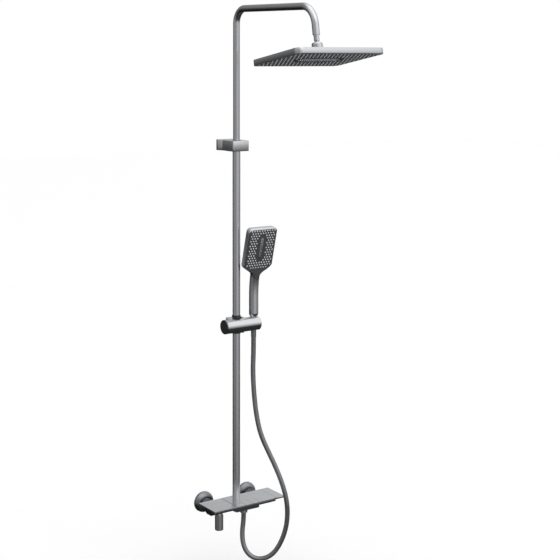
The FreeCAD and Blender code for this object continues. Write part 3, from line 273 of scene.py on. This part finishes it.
HOSE_SKIN = hose_skin()
BY_SLOT = {
    "gunmetal": SATIN, "gunmetal_dark": DARK, "brass": BRASS, "steel": STEEL,
    "spring_steel": SPRING, "black_plastic": ACETAL, "grey_plastic": NYLON,
    "nozzle_plate": ABS, "rubber": RUBBER, "hose_pvc": HOSE_SKIN, "valve_ceramic": CERAMIC,
}
SLOT_OF = {part["node"]: part["material_slot"] for part in frame["record"]["subparts"]}
BODY_OF = {name: body for body, names in frame["record"]["behaviour"]["bodies"].items()
           for name in names}
for name, piece in frame["nodes"].items():
    piece.data.materials.clear()
    piece.data.materials.append(BY_SLOT[SLOT_OF[name]])


# ---- shapes -------------------------------------------------------------------------------
def skin(rings, hollow=False):
    """Wall through a stack of closed rings, counter-clockwise seen from the last one.

    Grid point (i, j) joins (i, j+1), (i+1, j+1) and (i+1, j). Flat faces close the two ends,
    or the last ring joins the first where the profile itself is closed.
    """
    rows, count = rings.shape[:2]
    row = np.arange(rows if hollow else rows - 1)[:, None] * count
    here = np.arange(count)[None, :]
    ahead = (here + 1) % count
    above = (row + count) % (rows * count)
    faces = np.stack([row + here, row + ahead, above + ahead, above + here], -1)
    faces = faces.reshape(-1, 4).tolist()
    if not hollow:
        faces.append(list(range(count))[::-1])
        faces.append(list(range((rows - 1) * count, rows * count)))
    return rings.reshape(-1, 3), faces


def rounded_rect(half_x, half_y, radius, steps=6):
    """Rings of a rectangle with round corners: a quarter circle about each inner corner.

    The radius is one number, one for each ring, or four for each ring, one for each corner
    from the first quadrant on.
    """
    half_x, half_y, radius = (np.asarray(value, float) for value in (half_x, half_y, radius))
    half_x, half_y = (np.atleast_1d(value)[:, None, None] for value in (half_x, half_y))
    radius = radius[..., None] if radius.ndim == 2 else np.atleast_1d(radius)[:, None, None]
    turn = np.radians(np.arange(4)[:, None] * 90 + np.linspace(0, 90, steps + 1))
    sign_x = np.array([1, -1, -1, 1])[:, None]
    sign_y = np.array([1, 1, -1, -1])[:, None]
    x = sign_x * (half_x - radius) + radius * np.cos(turn)
    y = sign_y * (half_y - radius) + radius * np.sin(turn)
    x, y = np.broadcast_arrays(x, y)
    return np.stack([x, y], -1).reshape(len(x), -1, 2)


def lifted(flat, heights):
    """Flat rings (rows, points, 2) with a height for each row."""
    heights = np.broadcast_to(np.asarray(heights, float)[:, None], flat.shape[:2])
    return np.concatenate([flat, heights[..., None]], -1)


def slab(half_x, half_y, corner, profile, place, steps=6):
    """Plate with round corners: the profile lists (inset, height) from one face to the other."""
    inset, height = np.array(profile).T
    radius = np.maximum(corner - inset, 0.05 * MM)
    flat = rounded_rect(half_x - inset, half_y - inset, radius, steps)
    return skin(place.put(lifted(flat, height)))


def turned(profile, place, count=72, hollow=False, flutes=0, depth=0.0):
    """Turned shape: profile point (r, h) goes round the axis at radius r and height h.

    With flutes, the radius is less by depth times the cosine wave's upper half.
    """
    radius, height = np.array(profile).T
    turn = np.linspace(0, 2 * math.pi, count, endpoint=False)
    share = np.maximum(np.cos(flutes * turn), 0) if flutes else np.zeros(count)
    reach = radius[:, None] - depth * share[None, :]
    flat = np.stack([reach * np.cos(turn), reach * np.sin(turn)], -1)
    return skin(place.put(lifted(flat, height)), hollow)


def studs(centres, place, low, high, base, tip, sides=8):
    """Small nozzles, one at each centre: base, tip, and the rim and floor of its bore."""
    turn = np.linspace(0, 2 * math.pi, sides, endpoint=False)
    circle = np.stack([np.cos(turn), np.sin(turn)], -1)
    radii = np.array([base, tip, 0.5 * tip, 0.4 * tip])
    heights = np.array([low, high, high, 0.4 * low + 0.6 * high])
    flat = centres[:, None, None, :] + radii[None, :, None, None] * circle[None, None]
    deep = np.broadcast_to(heights[None, :, None, None], (*flat.shape[:3], 1))
    points = place.put(np.concatenate([flat, deep], -1).reshape(-1, 3))
    one_points, one_faces = skin(np.concatenate([flat, deep], -1)[0])
    per_stud = len(one_points)
    start = np.arange(len(centres)) * per_stud
    quads = np.array(one_faces[:-2])
    caps = np.array(one_faces[-2:])
    faces = (start[:, None, None] + quads[None]).reshape(-1, 4).tolist()
    faces += (start[:, None, None] + caps[None]).reshape(-1, sides).tolist()
    return points, faces


def piece(name, shape, material, body, slot=None, stands_for=(), sharp=35):
    """Puts a shape into the scene, smooth except across edges sharper than the angle."""
    points, faces = shape
    mesh = bpy.data.meshes.new(name)
    mesh.from_pydata(points.tolist(), [], faces)
    mesh.update()
    mesh.shade_smooth()
    mesh.set_sharp_from_angle(angle=math.radians(sharp))
    mesh.materials.append(material)
    made = bpy.data.objects.new(name, mesh)
    SCENE.collection.objects.link(made)
    if body:
        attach(made, body)
    if stands_for:
        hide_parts(*stands_for)
    return made


def softened(name, width, material=None, segments=2, sharp=32):
    """Copy of a CAD node with its corners merged and its sharp edges rounded to the width."""
    source = frame["nodes"][name]
    mesh = source.data.copy()
    mesh.name = name + "_softened"
    work = bmesh.new()
    work.from_mesh(mesh)
    bmesh.ops.remove_doubles(work, verts=work.verts, dist=0.004 * MM)
    bmesh.ops.dissolve_limit(work, angle_limit=math.radians(0.4), verts=work.verts,
                             edges=work.edges)
    work.to_mesh(mesh)
    work.free()
    mesh.materials.clear()
    mesh.materials.append(material or BY_SLOT[SLOT_OF[name]])
    mesh.shade_smooth()
    mesh.set_sharp_from_angle(angle=math.radians(sharp))
    made = bpy.data.objects.new(name + "_softened", mesh)
    SCENE.collection.objects.link(made)
    if width:
        bevel = made.modifiers.new("rounded edges", "BEVEL")
        bevel.width = width
        bevel.segments = segments
        bevel.limit_method = "ANGLE"
        bevel.angle_limit = math.radians(sharp)
        bevel.harden_normals = True
    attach(made, BODY_OF[name])
    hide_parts(name)
    return made


# ---- camera and light ---------------------------------------------------------------------
CAMERA_AT = Vector((-1.9624, -3.0578, 1.3127))
CAMERA_TO = Vector((0.5677, 0.8038, -0.1779))
CAMERA_ROLL = 0.38
CAMERA_LENS = 82.06


def make_camera():
    """Looks along CAMERA_TO with the up side upright, then rolls about that line."""
    data = bpy.data.cameras.new("camera")
    data.lens = CAMERA_LENS
    data.sensor_width = 36.0
    data.clip_start = 0.1
    data.clip_end = 60.0
    camera = bpy.data.objects.new("camera", data)
    SCENE.collection.objects.link(camera)
    turn = CAMERA_TO.to_track_quat("-Z", "Y").to_matrix().to_4x4()
    roll = Matrix.Rotation(math.radians(CAMERA_ROLL), 4, "Z")
    camera.matrix_world = Matrix.Translation(CAMERA_AT) @ turn @ roll
    SCENE.camera = camera


def make_light():
    """Soft studio light: the sky brightens from the horizon up, the ground is black.

    The azimuth runs from the camera's side, positive to its right; one sector at the back
    left is a dark flag, and one at the right front is a bright screen.
    """
    world = bpy.data.worlds.new("studio")
    SCENE.world = world
    world.use_nodes = True
    tree = world.node_tree
    tree.nodes.clear()
    toward = unit([-CAMERA_TO.x, -CAMERA_TO.y, 0])
    right = np.array([-toward[1], toward[0], 0])
    ray = node(tree, "TexCoord").outputs["Generated"]
    ray = node(tree, "VectorMath", {0: ray}, operation="NORMALIZE").outputs["Vector"]
    front = node(tree, "VectorMath", {0: ray, 1: toward.tolist()}, operation="DOT_PRODUCT")
    side = node(tree, "VectorMath", {0: ray, 1: right.tolist()}, operation="DOT_PRODUCT")
    height = node(tree, "SeparateXYZ", {"Vector": ray}).outputs["Z"]
    azimuth = node(tree, "Math", {0: side.outputs["Value"], 1: front.outputs["Value"]},
                   operation="ARCTAN2").outputs[0]
    azimuth = node(tree, "MapRange", {"Value": azimuth, "From Min": -math.pi,
                                      "From Max": math.pi}).outputs["Result"]
    elevation = node(tree, "Math", {0: height}, operation="ARCSINE").outputs[0]
    elevation = node(tree, "MapRange", {"Value": elevation, "From Min": -math.pi / 2,
                                        "From Max": math.pi / 2}).outputs["Result"]
    low_sky = [(0.0, grey(0.02)), (1.0, grey(0.70)), (0.37, grey(0.02)), (0.42, grey(0.17)),
               (0.475, grey(0.20))]
    side_sky = node(tree, "ValToRGB", {"Fac": elevation}, stops=low_sky + [
        (0.533, grey(0.42)), (0.60, grey(0.50)), (0.69, grey(0.58))])
    front_sky = node(tree, "ValToRGB", {"Fac": elevation}, stops=low_sky + [
        (0.55, grey(0.22)), (0.64, grey(0.32)), (0.75, grey(0.58))])
    front_share = node(tree, "ValToRGB", {"Fac": azimuth}, stops=[
        (0.0, grey(0)), (1.0, grey(0)), (0.24, grey(0)), (0.30, grey(1)),
        (0.62, grey(1)), (0.67, grey(0))]).outputs["Color"]
    sky = node(tree, "MapRange", {"Value": front_share, "To Min": side_sky.outputs["Color"],
                                  "To Max": front_sky.outputs["Color"]}).outputs["Result"]
    screens = node(tree, "ValToRGB", {"Fac": azimuth}, stops=[
        (0.0, grey(0.40)), (1.0, grey(0.42)), (0.06, grey(0.16)), (0.22, grey(0.14)),
        (0.28, grey(0.55)), (0.50, grey(0.55)), (0.54, grey(1.0)), (0.64, grey(1.0)),
        (0.68, grey(0.72)), (0.78, grey(0.50)), (0.90, grey(0.50))])
    # overhead, the sectors melt into one even ceiling
    ceiling = node(tree, "MapRange", {"Value": elevation, "From Min": 0.74,
                                      "From Max": 0.90}).outputs["Result"]
    sectors = node(tree, "MapRange", {"Value": ceiling, "To Min": screens.outputs["Color"],
                                      "To Max": 0.72}).outputs["Result"]
    level = node(tree, "Math", {0: sky, 1: sectors}, operation="MULTIPLY")
    level = node(tree, "Math", {0: level.outputs[0], 1: 3.2}, operation="MULTIPLY")
    studio = node(tree, "Background", {"Color": level.outputs[0], "Strength": 1.0})
    plain = node(tree, "Background", {"Color": grey(1.0), "Strength": 1.0})
    seen = node(tree, "LightPath").outputs["Is Camera Ray"]
    mixed = node(tree, "MixShader", {0: seen, 1: studio.outputs[0], 2: plain.outputs[0]})
    node(tree, "OutputWorld", {"Surface": mixed.outputs[0]})


def make_floor(lowest):
    """Pale floor, one square sheet; it is left out of sharp reflections."""
    reach = 14.0
    shape = slab(reach, reach, 1.0, [(0, lowest - 0.02), (0, lowest)],
                 Place((0, 0, 0), np.eye(3)))
    mesh = bpy.data.meshes.new("floor")
    mesh.from_pydata(shape[0].tolist(), [], shape[1])
    # Pale matt paint on plaster: even white with a trace of roller mottle.
    mesh.materials.append(coated("pale matt paint", "#ffffff", 0.0, 0.8, mottle=0.2,
                                 grain=4 * MM, tone=0.01))
    floor = bpy.data.objects.new("floor", mesh)
    SCENE.collection.objects.link(floor)
    floor.visible_glossy = False


make_camera()
make_light()
make_floor(CAD_BOX[0][2] - 0.07)
SCENE.view_settings.view_transform = "Standard"


# ---- hose ---------------------------------------------------------------------------------
HOSE_RADIUS = 7 * MM
HOSE_ROUTE = np.array([
    (26, -64, -30), (26, -64, -58), (19, -66, -94), (16, -76, -130), (24, -91, -157),
    (42, -109, -170), (65, -126, -167), (85, -140, -149), (100, -152, -116),
    (110, -161, -76), (114, -165, -32), (110, -165, 16), (102, -155, 62), (90, -136, 113),
    (74, -117, 162), (59, -100, 212), (53, -87, 272), (51, -78, 338), (52, -72, 398),
    (55.3, -70.2, 450), (55.5, -70, 500), (55.5, -70, 545),
]) * MM


def smooth_line(route):
    """Points of the order 3 NURBS line whose control points are the route."""
    curve = bpy.data.curves.new("hose_line", "CURVE")
    curve.dimensions = "3D"
    curve.resolution_u = 14
    spline = curve.splines.new("NURBS")
    spline.points.add(len(route) - 1)
    spline.points.foreach_set("co", np.c_[route, np.ones(len(route))].ravel())
    spline.order_u = 3
    spline.use_endpoint_u = True
    holder = bpy.data.objects.new("hose_line", curve)
    SCENE.collection.objects.link(holder)
    bpy.context.view_layer.update()
    line = bpy.data.meshes.new_from_object(holder)
    points = np.empty(len(line.vertices) * 3)
    line.vertices.foreach_get("co", points)
    bpy.data.objects.remove(holder)
    bpy.data.curves.remove(curve)
    bpy.data.meshes.remove(line)
    points = points.reshape(-1, 3)
    steps = np.linalg.norm(np.diff(points, axis=0), axis=1)
    return points[np.r_[True, steps > 1e-6]]


def make_hose():
    """Tube: each point of the line carries a circle square to the line's direction.

    The circle starts from the side that is square to both the line and one fixed level
    direction, across the plane of the hanging loop, so it never twists.
    """
    line = smooth_line(HOSE_ROUTE)
    ahead = np.gradient(line, axis=0)
    ahead /= np.linalg.norm(ahead, axis=1)[:, None]
    across = np.cross(ahead, unit((0.7, 0.7, 0.0)))
    across /= np.linalg.norm(across, axis=1)[:, None]
    third = np.cross(ahead, across)
    count = 24
    turn = np.linspace(0, 2 * math.pi, count, endpoint=False)
    turn_x, turn_y = np.cos(turn)[:, None], np.sin(turn)[:, None]
    rings = line[:, None] + HOSE_RADIUS * (turn_x * across[:, None] + turn_y * third[:, None])
    hose = piece("shower_hose", skin(rings), HOSE_SKIN, None, "hose_pvc", ["hose"])
    mesh = hose.data
    run = np.r_[0, np.cumsum(np.linalg.norm(np.diff(line, axis=0), axis=1))]
    corner = np.empty(len(mesh.loops), np.int32)
    mesh.loops.foreach_get("vertex_index", corner)
    starts = np.repeat(np.arange(len(mesh.polygons)), [len(f.vertices) for f in mesh.polygons])
    share = (corner % count) / count
    first = np.zeros(len(mesh.polygons))
    np.maximum.at(first, starts, share)
    share = np.where((first[starts] > 0.9) & (share == 0), 1.0, share)
    uv = mesh.uv_layers.new(name="path")
    uv.data.foreach_set("uv", np.c_[share, run[corner // count] / (3 * MM)].ravel())
    nuts = [softened(name, 0.4 * MM) for name in ("hose_nut_lower", "hose_cone_nut")]
    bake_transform(hose)
    return hose


make_hose()


# ---- rain head ----------------------------------------------------------------------------
STEM = JOINTS["head_turn"]
HEAD_AXES = [(1, 0, 0), JOINTS["head_roll"]["axis"], STEM["axis"]]


def lattice(pitch, reach):
    """Staggered points: rows of one pitch, pitch times sin 60 apart, every second one shifted."""
    row = np.arange(-reach, reach + 1)
    x, y = np.meshgrid(row * pitch, row * pitch * math.sqrt(0.75))
    x = x + (np.arange(len(row))[:, None] % 2) * pitch / 2
    return np.stack([x.ravel(), y.ravel()], -1)


def make_head():
    """Thin slab with rounded edges, a recessed spray plate, its slots and its nozzles."""
    ball = Place(STEM["pos_m"], HEAD_AXES)
    low, high = ball.box("head_shell")
    face = Place(ball.put([0, 0, low[2]]), HEAD_AXES)
    half_x, half_y, thick = high[0], high[1], high[2] - low[2]
    corner = 17 * MM
    seam = 1.5 * MM
    deep = 2.5 * MM
    profile = np.array([
        (seam / MM, 2.4), (seam / MM, 0.25), (1.25, 0.0), (0.5, 0.0), (0.15, 0.15), (0, 0.5),
        (0, thick / MM - 0.8), (0.25, thick / MM - 0.25), (0.8, thick / MM)]) * MM
    shell = slab(half_x, half_y, corner, profile, face, steps=10)
    piece("head_shell_visual", shell, SATIN, "rain_head", "gunmetal", ["head_shell"])
    gap = seam + 0.15 * MM
    plate = slab(half_x - gap, half_y - gap, corner - gap,
                 np.array([(0.4, 0.15), (0, 0.6), (0, deep / MM - 0.1)]) * MM, face, steps=10)
    piece("spray_plate_visual", plate, ABS, "rain_head", "nozzle_plate", ["nozzle_plate"])
    down = Place(face.origin, [(1, 0, 0), -face.axes[1], -face.axes[2]])

    # ring of open slots, evenly spaced along a stadium; each is a thin dark piece, painted shade of the opening
    ring_half, ring_radius = 66 * MM, 27 * MM
    straight = 2 * (ring_half - ring_radius)
    around = 2 * straight + 2 * math.pi * ring_radius
    count = 14
    for index in range(count):
        run = (index + 0.5) * around / count
        centre, turn = stadium_point(run, straight, ring_radius)
        heading = np.array([math.cos(turn), math.sin(turn), 0])
        axes = [heading @ down.axes, np.cross([0, 0, 1], heading) @ down.axes, down.axes[2]]
        spot = Place(down.put([*centre, -0.15 * MM]), axes)
        low_dome = np.array([(0, 0), (0, 0.1), (0.25, 0.25)]) * MM
        slot = slab(10 * MM, 3 * MM, 2.95 * MM, low_dome, spot)
        piece("spray_slot_%02d" % index, slot, SLOT_PAINTED_SHADE, "rain_head", "black_plastic")

    # staggered field outside the slots, and a closer one inside them
    def stadium_distance(points):
        reach = np.maximum(np.abs(points[:, 0]) - straight / 2, 0)
        return np.hypot(reach, points[:, 1])

    field = lattice(11.5 * MM, 60)
    inside = (np.abs(field[:, 0]) < half_x - 9 * MM) & (np.abs(field[:, 1]) < half_y - 9 * MM)
    field = field[inside & (stadium_distance(field) > ring_radius + 7.5 * MM)]
    middle = lattice(6.2 * MM, 60)
    middle = middle[stadium_distance(middle) < ring_radius - 6 * MM]
    outer = studs(field, down, -0.3 * MM, 1.2 * MM, 1.7 * MM, 1.2 * MM)
    piece("rain_nozzles_outer", outer, SILICONE, "rain_head", "nozzle_plate")
    inner = studs(middle, down, -0.3 * MM, 0.8 * MM, 1.4 * MM, 1.0 * MM)
    piece("rain_nozzles_inner", inner, SILICONE, "rain_head", "nozzle_plate")


def stadium_point(run, straight, radius):
    """Point and heading on a stadium at a run from the middle of its upper side."""
    arc = math.pi * radius
    run = (run + straight / 2) % (2 * straight + 2 * arc)
    if run < straight:
        return (straight / 2 - run, radius), math.pi
    run -= straight
    if run < arc:
        turn = math.pi / 2 + run / radius
        centre_x = -straight / 2
    elif run - arc < straight:
        return (-straight / 2 + run - arc, -radius), 0.0
    else:
        turn = 3 * math.pi / 2 + (run - arc - straight) / radius
        centre_x = straight / 2
    spot = (centre_x + radius * math.cos(turn), radius * math.sin(turn))
    return spot, turn + math.pi / 2


make_head()


# ---- hand shower --------------------------------------------------------------------------
PRESS = np.array(JOINTS["mode_press"]["axis"])
HAND_AXES = [(1, 0, 0), np.cross((1, 0, 0), PRESS), PRESS]


def smooth(value, low, high):
    """S curve from 0 at low to 1 at high."""
    share = np.clip((np.asarray(value, float) - low) / (high - low), 0, 1)
    return share * share * (3 - 2 * share)


def round_off(past_end, radius):
    """Loss of width near an end, given points from it: the radius less a quarter circle."""
    over = np.clip(past_end + radius, 0, radius)
    return radius - np.sqrt(np.maximum(radius ** 2 - over ** 2, 0))


def head_half_width(v, grip, half_wide):
    """Half width of the hand shower: the handle's radius swells to the head's half width."""
    return grip + (half_wide - grip) * smooth(v, -87 * MM, -53 * MM)


def make_handset():
    """Loft: rounded rectangles along a centreline that leaves the handle and leans forward.

    Half width, half depth and corner radius are functions of the height along the line.
    """
    rough = Place((0, 0, 0), HAND_AXES)
    insert_low, insert_high = rough.box("spray_insert")
    centre = rough.put([*((insert_low + insert_high) / 2)[:2], rough.box("handset_face")[0][2]])
    face = Place(centre, HAND_AXES)
    axis_x, axis_y = JOINTS["handset_turn"]["pos_m"][:2]
    bottom = box("handset_shell")[0][2]
    grip, tip, tip_long = 13.6 * MM, 9.8 * MM, 9 * MM
    half_wide, top_v = face.box("handset_shell")[1][:2]
    half_thick, corner_top = 10 * MM, 13 * MM
    rim_back = 0.3 * MM

    # v is the run along the middle line: 0 at the face centre, below -150 in the handle
    lean = math.asin(PRESS[2])
    handle_v, head_v = -150 * MM, -70 * MM
    base = face.put([0, 0, half_thick + rim_back])
    meet_v = (axis_y - base[1]) / (HAND_AXES[1][1])
    meet = face.put([0, meet_v, half_thick + rim_back])
    below = np.array([axis_x, axis_y, meet[2] - (meet_v - handle_v)])
    above = face.put([0, head_v, half_thick + rim_back])
    end_v = handle_v - (below[2] - bottom)
    v = np.r_[end_v + tip_long * (1 - np.cos(np.linspace(0, math.pi / 2, 7))),
              np.linspace(end_v + 12 * MM, handle_v, 6), np.linspace(-145, -84, 16) * MM,
              np.linspace(-82, -48, 28) * MM, np.linspace(-44, 38, 8) * MM,
              top_v - corner_top * (1 - np.sin(np.linspace(0, math.pi / 2, 12)))]

    def centre_line(v):
        """Straight, then a quadratic bend, then straight: its points and its lean at each v."""
        share = np.clip((v - handle_v) / (head_v - handle_v), 0, 1)[:, None]
        bend = (1 - share) ** 2 * below + 2 * share * (1 - share) * meet + share ** 2 * above
        straight = below + (v - handle_v)[:, None] * np.array([0, 0, 1])
        leaning = above + (v - head_v)[:, None] * face.axes[1]
        points = np.where(v[:, None] < handle_v, straight,
                          np.where(v[:, None] > head_v, leaning, bend))
        return points, lean * share[:, 0]

    def section(v):
        """Half thickness, and how far the section has turned from round to flat, at each v."""
        to_head = smooth(v, -95 * MM, -50 * MM)
        return grip + (half_thick - grip) * to_head, to_head

    middle, tilt = centre_line(v)
    wide = head_half_width(v, grip, half_wide)
    wide = wide - round_off(v - top_v, corner_top)
    thick, to_head = section(v)
    thick = thick - round_off(v - top_v, 5 * MM)
    taper = np.clip((v - end_v) / tip_long, 0, 1)
    narrow = tip + (grip - tip) * taper
    wide, thick = (np.where(taper < 1, narrow, size) for size in (wide, thick))
    limit = np.minimum(wide, thick) - 0.02 * MM
    back = np.minimum(grip + (6 * MM - grip) * to_head, limit)
    front_edge = np.minimum(grip + (3 * MM - grip) * to_head, limit)
    corners = np.stack([back, back, front_edge, front_edge], -1)
    flat = rounded_rect(wide, thick, corners, steps=8)
    depth = np.stack([0 * tilt, np.cos(tilt), np.sin(tilt)], -1)
    sideways = np.array([1, 0, 0])
    rings = middle[:, None] + flat[..., :1] * sideways + flat[..., 1:] * depth[:, None]
    piece("handset_shell_visual", skin(rings), SATIN, "handset", "gunmetal", ["handset_shell"],
          sharp=50)

    # spray face: its outline is the head's own, 3.4 mm in, down to the round end of the tongue
    inset = 3.4 * MM
    front = Place(face.origin, [*face.axes[:2], np.cross(*face.axes[:2])])
    reach, end_round, top_round = 100 * MM, 10 * MM, 9.6 * MM
    low_v = -reach + end_round * (1 - np.cos(np.radians(np.linspace(8, 90, 8))))
    steps_v = np.r_[low_v, np.linspace(-88, -80, 3) * MM, np.linspace(-78, -50, 26) * MM,
                    np.linspace(-44, top_v / MM - 14, 6) * MM,
                    top_v - inset - top_round * (1 - np.sin(np.radians(np.linspace(4, 84, 10))))]
    steps_v = np.sort(steps_v)
    half = head_half_width(steps_v, grip, half_wide) - inset
    half = np.maximum(half, end_round)
    under = np.clip(steps_v - (-reach + end_round), -end_round, 0)
    half = np.minimum(half, np.where(under < 0, np.sqrt(end_round ** 2 - under ** 2), half))
    half = half - round_off(steps_v - (top_v - inset), top_round)
    outline = np.r_[np.stack([half, steps_v], -1), np.stack([-half, steps_v], -1)[::-1]]
    middle_point = np.array([0, -20 * MM])
    shrink = np.array([1.0, 1.0, 0.992])[:, None, None]
    flat = middle_point + (outline - middle_point)[None] * shrink
    plate = skin(front.put(lifted(flat, np.array([-2.5, -0.25, 0.0]) * MM)))
    piece("handset_face_visual", plate, ABS, "handset", "nozzle_plate", ["handset_face"])

    # the tongue is the face plate's lower end, laid on the front of the neck
    on_neck = steps_v < -56 * MM
    tongue_v, tongue_half = steps_v[on_neck], half[on_neck]
    points, turn = centre_line(tongue_v)
    deep, to_head = section(tongue_v)
    across = np.linspace(-1, 1, 17)[None] * tongue_half[:, None]
    neck = head_half_width(tongue_v, grip, half_wide)
    edge = np.minimum(grip + (3 * MM - grip) * to_head, np.minimum(neck, deep) - 0.02 * MM)
    past = np.maximum(np.abs(across) - (neck - edge)[:, None], 0)
    front_at = deep[:, None] - edge[:, None] + np.sqrt(edge[:, None] ** 2 - past ** 2)
    layer = np.concatenate([front_at + rim_back + 0.05 * MM, front_at[:, ::-1] - 1.5 * MM], 1)
    out = np.stack([0 * turn, -np.cos(turn), -np.sin(turn)], -1)
    spread = np.concatenate([across, across[:, ::-1]], 1)
    rings = points[:, None] + spread[..., None] * sideways + layer[..., None] * out[:, None]
    piece("handset_face_tongue", skin(rings), ABS, "handset", "nozzle_plate")

    # a pad for the insert, the insert in it, and the button below them
    well_x, well_y = 12.5 * MM, 36 * MM
    rim = np.array([(0, -1), (0, 0.08), (0.3, 0.14)]) * MM
    well = slab(well_x, well_y, well_x - 0.1 * MM, rim, front, 10)
    piece("spray_well", well, ABS, "handset", "nozzle_plate")
    pill_x, pill_y = 6.5 * MM, 30 * MM
    rim = np.array([(0, -2), (0, 0.1), (0.6, 0.3)]) * MM
    insert = slab(pill_x, pill_y, pill_x - 0.05 * MM, rim, front, 10)
    piece("spray_insert_visual", insert, SATIN, "handset", "gunmetal", ["spray_insert"])
    key_low, key_high = front.box("mode_button")
    key_at = (key_low + key_high) / 2
    key_x, key_y = (key_high - key_low)[:2] / 2
    key_place = Place(front.put([key_at[0], key_at[1], 0]), front.axes)
    dished = np.array([(0, -0.8), (0, 0.35), (0.5, 0.6), (1.6, 0.6), (3.2, 0.35)]) * MM
    pad = slab(key_x, key_y, key_x - 0.05 * MM, dished, key_place, 10)
    piece("mode_button_visual", pad, DARK, "mode_key", "gunmetal_dark", ["mode_button"])

    # the real nozzles are about 7 mm apart; drawn a little coarser, so that each one shows
    dots = lattice(8.6 * MM, 12)
    limit = head_half_width(dots[:, 1] - 4 * MM, grip, half_wide) - inset - 3.0 * MM
    keep = (np.abs(dots[:, 0]) < limit) & (dots[:, 1] < top_v - 6.5 * MM) & (dots[:, 1] > -66 * MM)
    oval = np.hypot(dots[:, 0], np.maximum(np.abs(dots[:, 1]) - (well_y - well_x), 0))
    keep &= oval > well_x + 2.2 * MM
    piece("handset_nozzles", studs(dots[keep], front, -0.2 * MM, 0.9 * MM, 2.2 * MM, 1.8 * MM),
          PALE_SILICONE, "handset", "nozzle_plate")
    pips = np.stack([np.tile([-2.2, 2.2], 12), np.repeat(np.linspace(-25, 25, 12), 2)], -1) * MM
    piece("insert_nozzles", studs(pips, front, 0.2 * MM, 0.8 * MM, 1.3 * MM, 1.0 * MM),
          SILICONE, "handset", "nozzle_plate")


make_handset()


# ---- slider -------------------------------------------------------------------------------
def make_slider():
    """Turned cap with a sunk end, fluted release knob, and the bush's tabs above and below."""
    low, high = box("slider_cap")
    radius = (high[2] - low[2]) / 2
    centre = (low + high) / 2
    out = along((high[0], centre[1], centre[2]), (-1, 0, 0))
    deep = (high[0] - low[0]) / MM
    r = radius / MM
    profile = np.array([
        (r - 0.3, 0.0), (r, 0.3), (r, deep - 0.5), (r - 0.5, deep), (r - 1.6, deep),
        (r - 1.9, deep - 0.25), (r - 2.4, deep - 0.25), (1.0, deep - 0.25)]) * MM
    piece("slider_cap_visual", turned(profile, out, 96), DARK, "slider", "gunmetal_dark",
          ["slider_cap"])
    low, high = box("slider_button")
    centre = (low + high) / 2
    top = (high[2] - low[2]) / MM
    r = (high[0] - low[0]) / 2 / MM
    knob = Place((centre[0], centre[1], low[2]), np.eye(3))
    profile = np.array([(r - 0.5, 0), (r, 0.5), (r, top - 1.2), (r - 0.35, top - 0.35),
                        (r - 1.2, top), (r - 4, top), (r - 5.5, top - 0.4)]) * MM
    piece("release_knob", turned(profile, knob, 96, flutes=8, depth=0.9 * MM), POLISHED,
          "release_button", "gunmetal", ["slider_button"])
    body_low, body_high = box("slider_body")
    out_y = (body_low[1] + body_high[1]) / 2
    for name, height, lift in (("upper", body_high[2], 1), ("lower", body_low[2], -1)):
        spot = Place((16.8 * MM, out_y, height - lift * 2.0 * MM),
                     [(1, 0, 0), (0, lift, 0), (0, 0, lift)])
        tab = slab(3.2 * MM, 4.5 * MM, 1.2 * MM,
                   np.array([(0, 0), (0, 3.6), (0.35, 4.3), (1.0, 4.6)]) * MM, spot)
        piece("bush_tab_" + name, tab, SATIN, "slider", "gunmetal")


make_slider()


# ---- wall bracket ---------------------------------------------------------------------------
def make_bracket():
    """Block round the riser on a stadium shaped foot, both with softly broken edges."""
    for name, corner, edge, steps in (
        ("wall_bracket", 2.5, 0.9, 5), ("wall_flange", 15.4, 0.7, 24),
    ):
        low, high = box(name)
        spot = Place(((low[0] + high[0]) / 2, (low[1] + high[1]) / 2, low[2]), np.eye(3))
        tall = (high[2] - low[2]) / MM
        ease = edge * (1 - math.sqrt(0.5))
        profile = np.array([(edge, 0), (ease, ease), (0, edge), (0, tall - edge),
                            (ease, tall - ease), (edge, tall)]) * MM
        half_x, half_y = (high - low)[:2] / 2
        shape = slab(half_x, half_y, corner * MM, profile, spot, steps)
        piece(name + "_visual", shape, SATIN, "root", "gunmetal", [name])


make_bracket()


# ---- carried-over pieces, merged and smooth shaded, most with rounded edges -----------------
for name, width in (
    ("mixer_body", 0.5), ("shelf_plate", 0.5), ("key_spout", 0.4), ("key_hand", 0.4),
    ("key_rain", 0.4), ("temperature_lever", 0.5), ("spout_nozzle", 0.3), ("head_collar", 0.3),
):
    softened(name, width * MM)
softened("slider_body", 0.4 * MM, POLISHED)
for name in ("lower_riser", "shower_arm", "ball_stem"):
    softened(name, 0)
# the covers and the nuts take the darkened plating: painted shade under the shelf
for name in ("escutcheon_left", "escutcheon_right"):
    softened(name, 0, COVER_PAINTED_SHADE)
for name in ("union_nut_left", "union_nut_right"):
    softened(name, 0.5 * MM, COVER_PAINTED_SHADE)


# ---- key springs ----------------------------------------------------------------------------
# Each key's spring is carried over smooth shaded, on a mesh of its own.
for use in ("spout", "hand", "rain"):
    spring = softened("key_spring_" + use, 0)
    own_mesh(spring)
